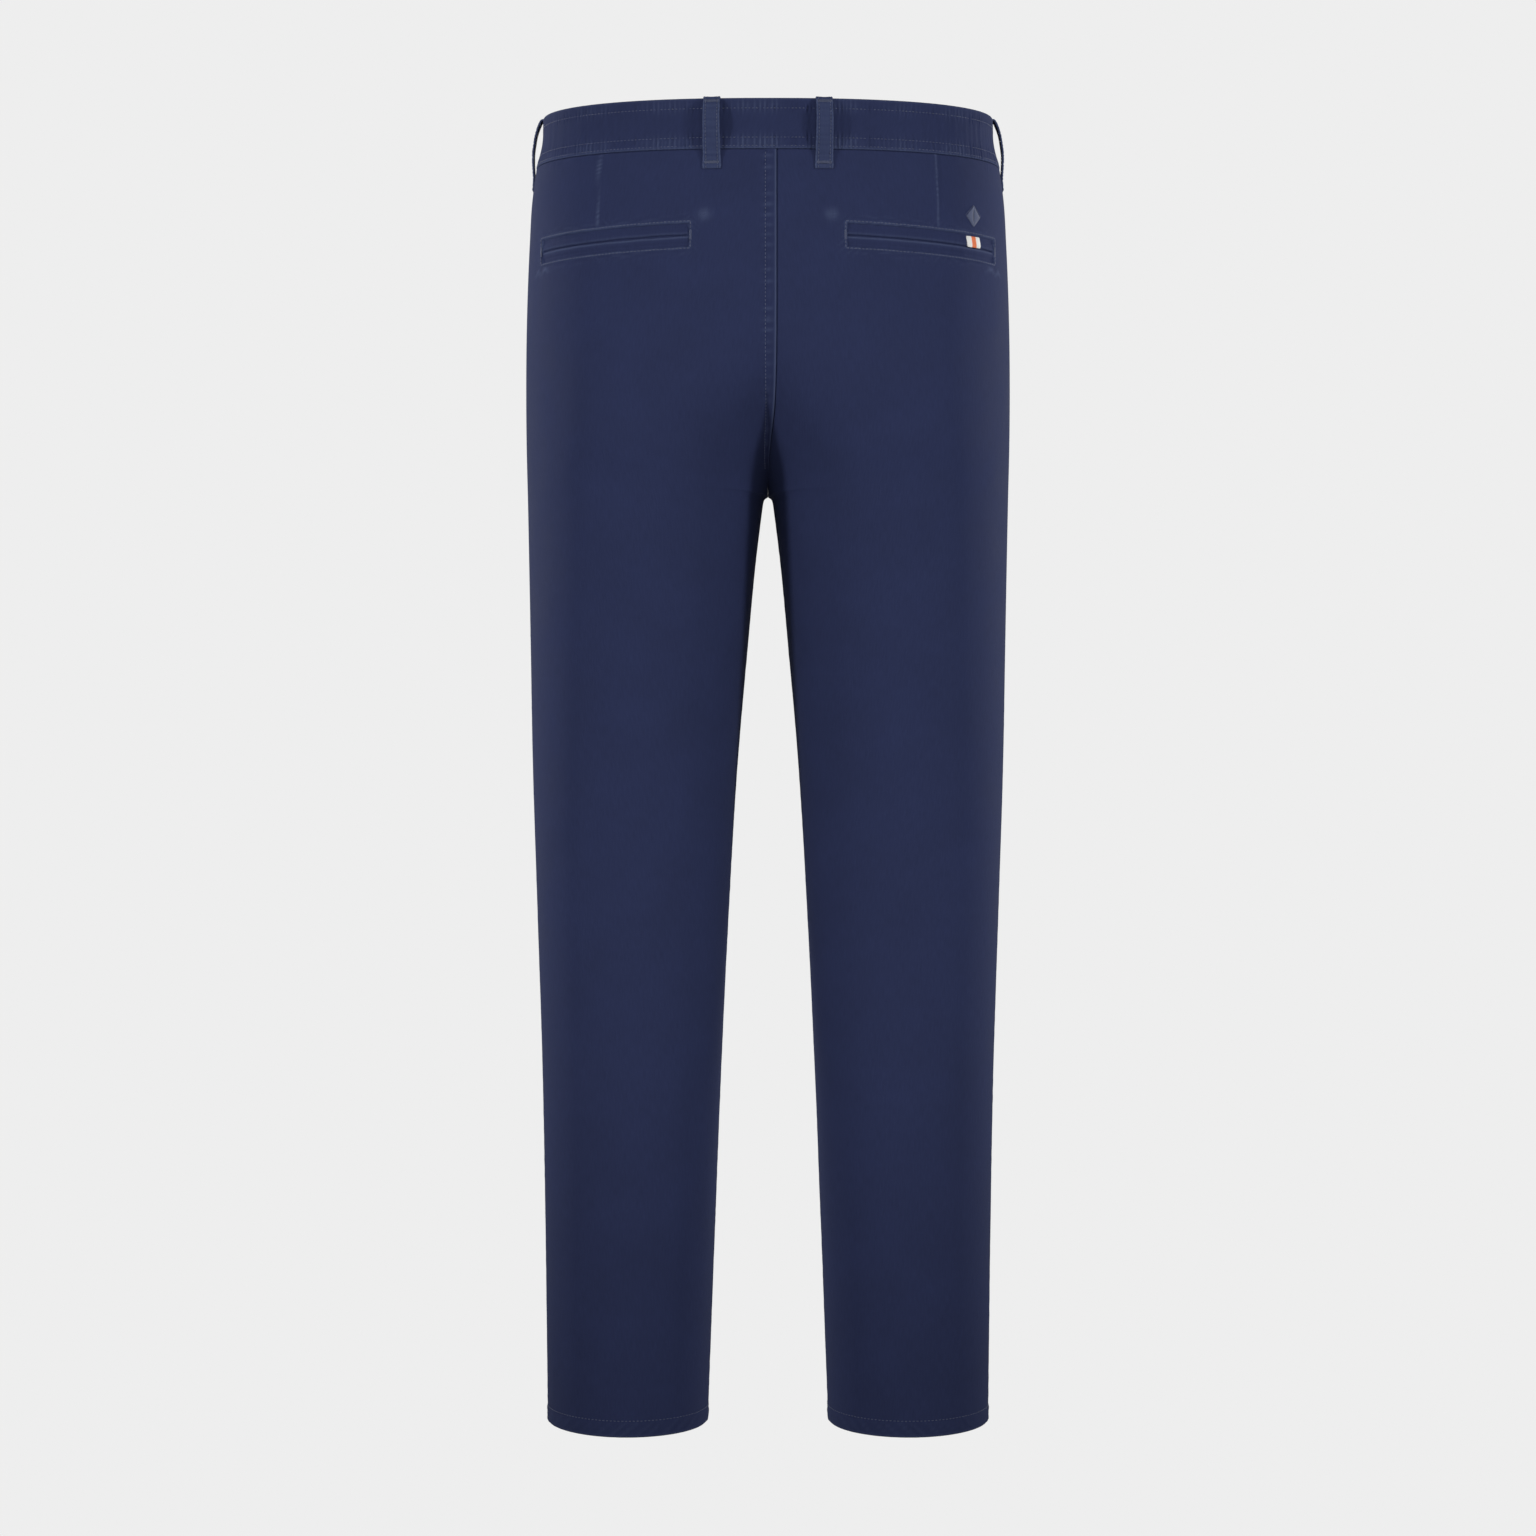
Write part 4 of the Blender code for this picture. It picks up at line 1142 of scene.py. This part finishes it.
def loop_curve(gap, count=64):
    """The inner face of a loop from the side: distance out and height, evenly spaced."""
    knots = np.array([(row.out_share * gap + row.out + 0.15, row.z) for row in LOOP_VIEW])
    run = np.concatenate(([0], np.cumsum(np.hypot(*np.diff(knots, axis=0).T))))
    slopes = np.gradient(knots, run, axis=0)
    place = np.linspace(0, run[-1], count)
    low = np.clip(np.searchsorted(run, place, side="right") - 1, 0, len(run) - 2)
    step = (run[low + 1] - run[low])[:, None]
    t = (place[:, None] - run[low][:, None]) / step
    rise = knots[low + 1] - knots[low]
    bend = t * (1 - t) * step * ((1 - t) * slopes[low] - t * slopes[low + 1])
    return knots[low] + rise * t * t * (3 - 2 * t) + bend


def loop_section(points=22):
    """The strip's cross section: across, and height over its inner face."""
    across = np.cos(np.linspace(0, math.pi, points))
    across = np.sign(across) * np.abs(across) ** 0.8
    edge = 1 - np.abs(across)
    rounding = np.sqrt(np.clip(1 - (1 - np.clip(edge / 0.10, 0, 1)) ** 2, 0, 1))
    top = LOOP_WALL * (0.5 + 0.5 * rounding) - 0.35 * ridge(np.abs(across), 0.0, 0.55)
    top -= 0.28 * ridge(np.abs(across), 0.68, 0.06)
    under = across[1:-1][::-1]
    return (np.concatenate((across, under)) * LOOP_HALF,
            np.concatenate((top, 0.12 * LOOP_WALL + 0 * under)))


def on_loop(loop, across, height, curve):
    """Points of a swept strip: arrays across it and a curve down it."""
    tangent = np.gradient(curve, axis=0)
    tangent /= np.linalg.norm(tangent, axis=1, keepdims=True)
    side_view = np.stack((-tangent[:, 1], tangent[:, 0]), 1)
    out = curve[:, None, 0] + side_view[:, None, 0] * height
    z = curve[:, None, 1] + side_view[:, None, 1] * height
    level = np.clip(z, -60, 20)

    def along(height_read):
        side = side_length(loop.face, height_read) if loop.at_side else 0.0
        return loop.hand * (loop.distance + side + across) + 0 * z

    normal = skin_normal(loop.face, 0 * z, along(0 * z))
    point = skin(loop.face, level, along(level))
    point[..., 2] = z
    return point + normal * out[..., None], normal


for number, loop in enumerate(LOOPS):
    curve = loop_curve(loop.gap)
    across, height = loop_section()
    down = curve[:, None, 1]
    wobble = 0.10 * ripple(down, 7.0, 120 + number) + 0.10 * ripple(down, 3.2, 130 + number)
    edge_wave = 1 + 0.014 * ripple(down, 11.0, 140 + number) + 0.07 * ease((8 - down) / 40)
    edge_wave = edge_wave + 0.07 * ridge(down, -33.5, 2.2)
    uneven = height[None, :] + wobble * (height > 0.5)
    points, _ = on_loop(loop, across[None, :] * edge_wave, uneven, curve)
    rows, columns = points.shape[:2]
    quads = grid_faces(rows, columns, True).reshape(-1, 4)
    caps = [np.arange(columns)[None, ::-1], (rows - 1) * columns + np.arange(columns)[None, :]]
    corner = points.reshape(-1, 3)[quads[10]]
    centre = points[0].mean(0)
    if np.cross(corner[1] - corner[0], corner[3] - corner[0]) @ (corner[0] - centre) < 0:
        quads, caps = quads[:, ::-1], [cap[:, ::-1] for cap in caps]
    walk = np.arange(rows)[:, None] + 0 * across
    flat = np.stack((across[None, :] + 0 * walk, walk * 1.0), -1).reshape(-1, 2)
    # Painted lighter all over and more along the raised edges: painted highlight, with wear on
    # the edges.
    wear_and_highlight = 0.75 * ridge(np.abs(across) / LOOP_HALF, 0.92, 0.09)[None, :] * (height > 0.5)
    wear_and_highlight = wear_and_highlight * (0.75 + 0.25 * ripple(down, 3.0, 150 + number)) + 0.22
    wear_and_highlight = wear_and_highlight + 0.10 * ripple(down, 5.0, 152 + number) * (height > 0.5)
    piece = mesh_piece(f"loop_{loop.place}", points.reshape(-1, 3), [quads] + caps, flat,
                       np.clip(wear_and_highlight, 0, 1).ravel())
    finish_cloth(piece, "loop", "twill", f"belt_loop_{loop.place}")

# %% [markdown]
# ## Stitches
# A lockstitch shows as a row of short fat strands, each sunk at its ends. One small closed
# strand is copied along every row by arrays and all rows of a part become one joined mesh.

# %% Stitch maker
STITCH_PITCH = 3.0
STITCH_GAP = 0.8
THREAD_RADIUS = 0.30
ring_turns = np.linspace(0, 2 * math.pi, 7)[:-1]
strand_along = np.array((-0.38, -0.18, 0.18, 0.38))
strand_girth = np.array((0.72, 1.0, 1.0, 0.72))
strand_lift = np.array((-0.2, 0.35, 0.35, -0.2))


def strand_faces():
    quads = [[6 * ring + turn, 6 * ring + (turn + 1) % 6, 6 * ring + 6 + (turn + 1) % 6,
              6 * ring + 6 + turn] for ring in range(3) for turn in range(6)]
    tips = [[24, (turn + 1) % 6, turn] for turn in range(6)]
    tips += [[25, 18 + turn, 18 + (turn + 1) % 6] for turn in range(6)]
    return np.array(quads), np.array(tips)


STRAND_QUADS, STRAND_TIPS = strand_faces()


def strands(starts, ends, normals, radius=THREAD_RADIUS):
    """One strand from each start to each end, lying on the cloth."""
    middle, reach = (starts + ends) / 2, ends - starts
    length = np.linalg.norm(reach, axis=1, keepdims=True)
    tangent = reach / length
    aside = np.cross(normals, tangent)
    aside /= np.linalg.norm(aside, axis=1, keepdims=True)
    up = np.cross(tangent, aside)
    rings = []
    for place, girth, lift in zip(strand_along, strand_girth, strand_lift):
        centre = middle + reach * place + up * radius * lift
        for turn in ring_turns:
            rings.append(centre + radius * girth * (aside * math.cos(turn) + up * math.sin(turn)))
    for place in (-0.5, 0.5):
        rings.append(middle + reach * place - up * radius * 0.5)
    return np.stack(rings, 1)


def along_row(points, normals, pitch=STITCH_PITCH, gap=STITCH_GAP):
    """Starts, ends and normals of the stitches in one row of close points."""
    run = np.concatenate(([0], np.cumsum(np.linalg.norm(np.diff(points, axis=0), axis=1))))
    count = max(int(run[-1] / pitch), 1)
    start = (np.arange(count) + 0.5) * run[-1] / count - (pitch - gap) / 2
    read = lambda values, place: np.stack(
        [np.interp(place, run, values[:, axis]) for axis in range(3)], 1)
    return read(points, start), read(points, start + pitch - gap), read(normals, start)


def sew(name, rows, material="thread", node=(), slot="thread", radius=THREAD_RADIUS):
    """Joins many rows of stitches into one piece."""
    blocks = [strands(*row, radius=radius) for row in rows]
    points = np.concatenate(blocks)
    first = np.arange(len(points))[:, None, None] * points.shape[1]
    quads = (STRAND_QUADS[None] + first).reshape(-1, 4)
    tips = (STRAND_TIPS[None] + first).reshape(-1, 3)
    piece = mesh_piece(name, points.reshape(-1, 3), [quads, tips])
    finish_cloth(piece, material, slot, *node)
    print(f"{name}: {len(points)} stitches")
    return piece


def bar_tack(place, centre, reach, across, count=14):
    """Close satin strands over a short bar: place maps (z, s) to points and normals."""
    share = np.linspace(-0.5, 0.5, count)
    z = centre[0] + share * reach[0]
    s = centre[1] + share * reach[1]
    length = math.hypot(*reach)
    side_z, side_s = -reach[1] / length * across / 2, reach[0] / length * across / 2
    start, normal = place(z + side_z, s + side_s)
    end, _ = place(z - side_z, s - side_s)
    return start, end, normal

# %% Waistband, seat and pocket stitches
band_rows_of_stitches = []
for height in BAND_STITCHES:
    run = np.linspace(-LAP + 2, float(band_length(height)) - 3, 2400)
    band_rows_of_stitches.append(along_row(*on_band(height, run, 0.02)))
end_z = np.linspace(BAND_STITCHES[0], BAND_STITCHES[2], 60)
band_rows_of_stitches.append(along_row(*on_band(end_z, -LAP + 2.0, 0.02)))
sew("stitches_waistband", band_rows_of_stitches)

seat_z = np.linspace(-22, -262, 500)
edge_s = SEAT_STITCH + first_clear(BACK, seat_z) - LAP * lap_share(seat_z)
sew("stitches_seat_seam", [along_row(*on_panel(BACK, LEFT, seat_z, edge_s, 0.04))])

pocket_rows = []
for hand in (LEFT, RIGHT):
    place = lambda z, s, hand=hand: on_panel(BACK, hand, z, s, 0.06)
    for rise in (UPPER_WELT + 1.3, -LOWER_WELT - 1.3):
        s = np.linspace(POCKET_INNER - 1.3, POCKET_OUTER + 1.3, 300)
        pocket_rows.append(along_row(*place(slit_height(s) + rise, s)))
    for s in (POCKET_INNER - 1.3, POCKET_OUTER + 1.3):
        up = np.linspace(UPPER_WELT + 1.0, -LOWER_WELT - 1.0, 60)
        pocket_rows.append(along_row(*place(slit_height(s) + up, s + 0 * up)))
        pocket_rows.append(bar_tack(place, (float(slit_height(s)), s), (7.0, 0.0), 1.9, 16))
sew("stitches_back_pockets", pocket_rows)

# %% Hem, mouth and fly stitches
hem_rows = []
for hand in (LEFT, RIGHT):
    for face in (FRONT, BACK):
        start, end = first_clear(face, HEM + HEM_STITCH), side_length(face, HEM + HEM_STITCH)
        s = np.linspace(float(start) + 1, float(end) - 1, 300)
        z = HEM + HEM_STITCH
        z = z + hem_shift(z, face, s / float(end))
        hem_rows.append(along_row(*on_panel(face, hand, z, s, 0.04)))
sew("stitches_hems", hem_rows)

mouth_rows = []
MOUTH_TACKS = (-26.0, -170.0)
for hand in (LEFT, RIGHT):
    place = lambda z, s, hand=hand: on_panel(FRONT, hand, z, s, 0.04)
    z = np.linspace(-22.5, -176, 400)
    for row in MOUTH_ROWS:
        s = side_length(FRONT, z) - mouth_of_pocket(z) - row
        mouth_rows.append(along_row(*place(z, s)))
    for z in MOUTH_TACKS:
        s = float(side_length(FRONT, z) - mouth_of_pocket(z)) - 4.6
        mouth_rows.append(bar_tack(place, (z, s), (2.0, 7.5), 1.9, 16))
sew("stitches_pocket_mouths", mouth_rows)

place = lambda z, s: on_panel(FRONT, LEFT, z, s, 0.04)
fly_rows = [along_row(*place(*fly_stitch(np.linspace(0, 0.99, 500)))),
            bar_tack(place, (-184.0, -1.0), (7.0, -2.0), 2.0, 16),
            bar_tack(place, (-150.0, 29.0), (7.0, -3.0), 1.9, 14)]
sew("stitches_fly", fly_rows)

# %% Belt loop stitches
loop_rows = []
for loop in LOOPS:
    curve = loop_curve(loop.gap, 160)
    down = curve[:, 1]
    for side in (-0.68, 0.68):
        kept = curve[down < 19.6]
        points, normals = on_loop(loop, np.array([[side * LOOP_HALF]]),
                                  np.array([[LOOP_WALL - 0.12]]), kept)
        tangent = np.gradient(points[:, 0], axis=0)
        sideways = np.cross(normals[:, 0], tangent)
        lift = np.cross(tangent, sideways)
        loop_rows.append(along_row(points[:, 0], lift / np.linalg.norm(lift, axis=1)[:, None],
                                   2.6, 0.5))
    for z in (-31.0, 16.0):
        here = curve[np.abs(down - z) < 1.6]
        share = np.linspace(-0.86, 0.86, 20) * LOOP_HALF
        top, normals = on_loop(loop, share[None, :], np.array([[LOOP_WALL - 0.15]]), here)
        loop_rows.append((top[0], top[-1], normals[0]))
sew("stitches_belt_loops", loop_rows)

# %% [markdown]
# ## Striped tab and satin motif
# A folded end of striped ribbon peeps out at the right pocket, woven white with one orange
# stripe. Above it sits a small tonal lozenge of satin stitch, a plain shape of this lesson's
# own. The ribbon's stripe comes from its place on the flat cloth; the lozenge is made of long
# close strands, split along its middle like a leaf.

# %% Striped tab
TAB_CENTRE = 171.0
TAB_WIDTH = 15.0
TAB_HEIGHT = 10.1
STRIPE_HALF = 2.4


def striped_ribbon():
    bench = NodeBench("Striped ribbon")
    place = bench.add("SeparateXYZ")
    bench.join(bench.flat_place((1, 1)), place.inputs[0])
    stripe = bench.math("LESS_THAN", bench.math("ABSOLUTE", place.outputs[0], 0.0),
                        STRIPE_HALF * MM)
    cords = bench.add("TexWave", wave_type="BANDS", bands_direction="Y")
    cords.inputs["Scale"].default_value = WAVE_SPAN / 0.0009
    bench.join(bench.flat_place((1, 1)), cords.inputs["Vector"])
    shade = bench.spread(cords.outputs["Fac"], 0.93, 1.04)
    tint = bench.blend(stripe, linear((238, 237, 233)), linear((228, 118, 72)))
    woven = bench.add("VectorMath", operation="SCALE")
    bench.join(tint, woven.inputs[0])
    bench.join(shade, woven.inputs["Scale"])
    bench.join(woven.outputs[0], bench.shader.inputs["Base Color"])
    bench.join(bench.spread(bench.noise(700, 2), 0.7, 0.9), bench.shader.inputs["Roughness"])
    bench.bump(cords.outputs["Fac"], 0.0002, 0.7)
    return bench.material


materials["ribbon"] = striped_ribbon()
down = np.linspace(0, 1, 20)[:, None]
over = np.linspace(-0.5, 0.5, 26)[None, :]
s = TAB_CENTRE + over * TAB_WIDTH + 0.8 * (down - 0.5)
corner = np.clip((np.abs(over) - 0.42) / 0.08, 0, 1) ** 2 * np.clip((down - 0.84) / 0.16, 0, 1)
z = slit_height(s) + UPPER_WELT - 0.9 - down * (TAB_HEIGHT - 1.2) + 1.1 * corner
z = z + 0.5 * over
height = -WINDOW_SINK + 1.45 + 0.55 * ridge(down, 0.75, 0.35) + 0.12 * ripple(s, 9.0, 160)
height = height - 0.5 * ridge(down, 0, 0.08) - 0.35 * ridge(np.abs(over), 0.5, 0.05)
base, normal = skin(BACK, z, RIGHT * s), skin_normal(BACK, z, RIGHT * s)
flat = np.stack((over * TAB_WIDTH + 0 * down, down * TAB_HEIGHT + 0 * over), -1)
piece = cloth_wall("striped_tab_ribbon", base + normal * height[..., None],
                   base + normal * (height - 0.7)[..., None], flat, 0.0)
finish_cloth(piece, "ribbon", "woven_tape", "striped_tab")
print("striped tab", TAB_WIDTH, "x", TAB_HEIGHT, "mm")

# %% Satin motif
MOTIF_CENTRE = 170.0
MOTIF_MIDDLE = -66.5
MOTIF_HALF = 8.2


def on_hip(z, s, out):
    point, normal = on_panel(BACK, RIGHT, z, s, out)
    return point, normal


rise = np.linspace(-MOTIF_HALF + 0.5, MOTIF_HALF - 0.5, 60)
half = (MOTIF_HALF - np.abs(rise)) * 0.96
motif_rows = []
for side in (-1, 1):
    inner, normal = on_hip(MOTIF_MIDDLE + rise, MOTIF_CENTRE - 0.3 * side + 0 * rise, 0.36)
    outer, _ = on_hip(MOTIF_MIDDLE + rise - 0.9, MOTIF_CENTRE + side * (half + 0.3), 0.24)
    motif_rows.append((inner, outer, normal))
outline = np.linspace(0, 4, 160)
corners = np.array(((0, 1), (1, 0), (0, -1), (-1, 0), (0, 1))) * (MOTIF_HALF + 0.3)
edge_s = MOTIF_CENTRE + np.interp(outline, range(5), corners[:, 0])
edge_z = MOTIF_MIDDLE + np.interp(outline, range(5), corners[:, 1])
points, normals = on_hip(edge_z, edge_s, 0.1)
motif_rows.append(along_row(points, normals, 1.5, 0.2))
sew("satin_motif", motif_rows, "satin", ("hip_motif",), "thread", 0.22)

# %% [markdown]
# ## Button, zip slider and teeth
# The button is a turned dish with a raised rim and four holes, sewn with two parallel bars of
# thread. It is a profile swept round, cut by four bars. The slider keeps the CAD shape, and the
# zip gets its chain of teeth as one joined mesh.

# %% Button
def horn():
    bench = NodeBench("Dark horn resin")
    swirl = bench.noise(260, 5)
    bench.join(bench.blend(bench.spread(swirl, 0, 1), linear((30, 33, 48)),
                           linear((58, 62, 82))), bench.shader.inputs["Base Color"])
    bench.join(bench.spread(swirl, 0.24, 0.38), bench.shader.inputs["Roughness"])
    bench.shader.inputs["Coat Weight"].default_value = 0.3
    bench.bump(swirl, 0.00004, 0.5)
    return bench.material


def gunmetal():
    bench = NodeBench("Gunmetal")
    grain = bench.noise(1500, 3)
    bench.join(bench.blend(bench.spread(grain, 0, 1), linear((92, 94, 100)),
                           linear((140, 142, 148))), bench.shader.inputs["Base Color"])
    bench.join(bench.spread(grain, 0.28, 0.45), bench.shader.inputs["Roughness"])
    bench.shader.inputs["Metallic"].default_value = 1.0
    bench.bump(grain, 0.00003, 0.4)
    return bench.material


materials["horn"] = horn()
materials["gunmetal"] = gunmetal()
BUTTON_RUN = 15.0
BUTTON_PROFILE = ((0.01, 1.9), (2.9, 1.9), (3.9, 2.05), (4.6, 2.5), (5.3, 2.95), (6.2, 3.05),
                  (7.0, 2.75), (7.45, 2.15), (7.5, 1.5), (7.2, 0.9), (6.2, 0.45), (4.0, 0.2),
                  (0.01, 0.2))
low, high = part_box("waist_button")
button_middle = np.array((low + high) / 2) / MM
axis = Vector(skin_normal(FRONT, 0.0, BUTTON_RUN))
turn = np.linspace(0, 2 * math.pi, 49)[:-1]
profile = np.array(BUTTON_PROFILE)
local = np.stack((profile[:, :1] * np.cos(turn), profile[:, :1] * np.sin(turn),
                  profile[:, 1:] - 1.6 + 0 * turn), -1)
frame_turn = np.array(axis.to_track_quat("Z", "Y").to_matrix())
points = local.reshape(-1, 3) @ frame_turn.T + button_middle
quads = grid_faces(len(profile), len(turn), True).reshape(-1, 4)[:, ::-1]
rim = np.arange(len(turn))
caps = [rim[None, :], (len(profile) - 1) * len(turn) + rim[None, ::-1]]
button = mesh_piece("button_horn", points, [quads] + caps)
HOLE_RADIUS = 0.95 * MM
HOLE_DEPTH = 12 * MM
HOLE_OFFSET = 1.7
cutters = []
for right, up in ((-1, -1), (-1, 1), (1, -1), (1, 1)):
    bpy.ops.mesh.primitive_cylinder_add(vertices=20, radius=HOLE_RADIUS, depth=HOLE_DEPTH)
    bar = bpy.context.object
    offset = frame_turn @ np.array((right * HOLE_OFFSET, up * HOLE_OFFSET, 0.0))
    bar.location = (button_middle + offset) * MM
    bar.rotation_euler = axis.to_track_quat("Z", "Y").to_euler()
    hole = button.modifiers.new("Thread hole", "BOOLEAN")
    hole.operation, hole.object = "DIFFERENCE", bar
    cutters.append(bar)
bpy.context.view_layer.update()
cut = bpy.data.meshes.new_from_object(button.evaluated_get(bpy.context.evaluated_depsgraph_get()))
button.modifiers.clear()
button.data = cut
cut.shade_smooth()
cut.set_sharp_from_angle(angle=math.radians(40))
for bar in cutters:
    bpy.data.objects.remove(bar, do_unlink=True)
button.data.materials.clear()
finish_cloth(button, "horn", "button_plastic", "waist_button")


def at_button(points):
    return np.asarray(points, float) @ frame_turn.T + button_middle


threads = []
for shift in np.linspace(-0.5, 0.5, 4):
    for side in (-1, 1):
        start = at_button([(-HOLE_OFFSET, side * HOLE_OFFSET + shift, 0.5)])
        end = at_button([(HOLE_OFFSET, side * HOLE_OFFSET + shift, 0.5)])
        threads.append((start, end, np.array([axis])))
sew("button_thread", threads, radius=0.3)
across_button = at_button([(1, 0, 0)]) - button_middle
shank = [(at_button([(a, b, -1.2)]), at_button([(a, b, -3.4)]), across_button)
         for a in (-0.7, 0.0, 0.7) for b in (-0.7, 0.0, 0.7)]
sew("button_shank", shank, radius=0.45)
print("button faces:", len(cut.polygons))

# %% Zip
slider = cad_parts["zip_slider"]
slider.data.materials.clear()
slider.data.materials.append(materials["gunmetal"])
TEETH_TOP = -62.0
TEETH_BOTTOM = -172.0
TOOTH_PITCH = 1.05
tooth_z = np.arange(TEETH_TOP, TEETH_BOTTOM, -TOOTH_PITCH)
side = np.where(np.arange(len(tooth_z)) % 2, 1.0, -1.0)
tooth = np.array([(x, y, z) for x in (-1.9, 1.9) for y in (-0.6, 0.6) for z in (-0.38, 0.38)])
tooth_quads = np.array(((0, 1, 3, 2), (4, 6, 7, 5), (0, 4, 5, 1), (2, 3, 7, 6), (0, 2, 6, 4),
                        (1, 5, 7, 3)))
seat_points = skin(FRONT, tooth_z, ZIP_MIDDLE + 0.5 * side)
seat_points = seat_points - 5.7 * skin_normal(FRONT, tooth_z, ZIP_MIDDLE + 0.5 * side)
points = (seat_points[:, None] + tooth[None]).reshape(-1, 3)
quads = (tooth_quads[None] + 8 * np.arange(len(tooth_z))[:, None, None]).reshape(-1, 4)
teeth = mesh_piece("zip_teeth", points, [quads])
finish_cloth(teeth, "gunmetal", "zip_metal")
print(len(tooth_z), "zip teeth")

# %% [markdown]
# ## Light and floor
# Soft light from high up falls on the seat and thighs and dies away toward the hems. Strips at
# hip height edge the sides. The floor and the backdrop are one even pale tone without shadows.

# %% Stage and light
BACKDROP = (238, 238, 238)
paper = bpy.data.materials.new("Pale paper")
paper.use_nodes = True
paper.node_tree.nodes.clear()
glow = paper.node_tree.nodes.new("ShaderNodeEmission")
glow.inputs["Color"].default_value = linear(BACKDROP)
paper_out = paper.node_tree.nodes.new("ShaderNodeOutputMaterial")
paper.node_tree.links.new(glow.outputs[0], paper_out.inputs[0])
REACH = 30.0
FLOOR_Z = -1.6


def seen_only(name, mesh):
    """A stage piece that the camera sees and that throws no light or shadow."""
    mesh.materials.append(paper)
    item = bpy.data.objects.new(name, mesh)
    bpy.context.scene.collection.objects.link(item)
    for ray in ("visible_diffuse", "visible_glossy", "visible_transmission", "visible_shadow"):
        setattr(item, ray, False)


for name, tall in (("Floor", 0.0), ("Backdrop", 2 * REACH)):
    shape = bmesh.new()
    if tall:
        bmesh.ops.create_cone(shape, cap_ends=True, segments=64, radius1=REACH, radius2=REACH,
                              depth=tall)
    else:
        bmesh.ops.create_circle(shape, cap_ends=True, segments=64, radius=REACH)
        bmesh.ops.translate(shape, verts=shape.verts, vec=(0, 0, FLOOR_Z))
    mesh = bpy.data.meshes.new(name)
    shape.to_mesh(mesh)
    shape.free()
    seen_only(name, mesh)
AMBIENT = 0.38
world = bpy.data.worlds.new("Studio")
world.use_nodes = True
world.node_tree.nodes["Background"].inputs["Color"].default_value = linear(BACKDROP)
world.node_tree.nodes["Background"].inputs["Strength"].default_value = AMBIENT
bpy.context.scene.world = world


def lamp(name, kind, place, aim, power, size, **settings):
    data = bpy.data.lights.new(name, kind)
    data.energy = power
    for key, value in settings.items():
        setattr(data, key, value)
    if kind == "AREA":
        data.shape = "RECTANGLE"
        data.size, data.size_y = size
    else:
        data.shadow_soft_size = size
    item = bpy.data.objects.new(name, data)
    item.location = place
    item.rotation_euler = (Vector(aim) - Vector(place)).to_track_quat("-Z", "Y").to_euler()
    item.visible_camera = False
    bpy.context.scene.collection.objects.link(item)


KEY_AIM = (0, 0, -0.35)
KEY_DISTANCE = 4.2
KEY_HEIGHT = 0.5
KEY_RADIUS = 0.35
KEY_CONE = math.radians(21.4)
KEY_BLEND = 0.60
Key = namedtuple("Key", "name turn power")
KEYS = (Key("Back key", 90, 110), Key("Back left key", 35, 270), Key("Back right key", 145, 270),
        Key("Front key", -90, 110), Key("Front left key", -35, 270),
        Key("Front right key", -145, 270))
for key in KEYS:
    turn = math.radians(key.turn)
    place = (KEY_DISTANCE * math.cos(turn), KEY_DISTANCE * math.sin(turn), KEY_HEIGHT)
    lamp(key.name, "SPOT", place, KEY_AIM, key.power, KEY_RADIUS, spot_size=KEY_CONE,
         spot_blend=KEY_BLEND)
RIM_POWER = 14
RIM_CONE = math.radians(8)
for side in (-1, 1):
    lamp("Hip rim", "SPOT", (side * 1.9, 0.35, -0.05), (side * 0.17, 0.0, -0.06), RIM_POWER,
         0.05, spot_size=RIM_CONE, spot_blend=1.0)
print("stage ready")
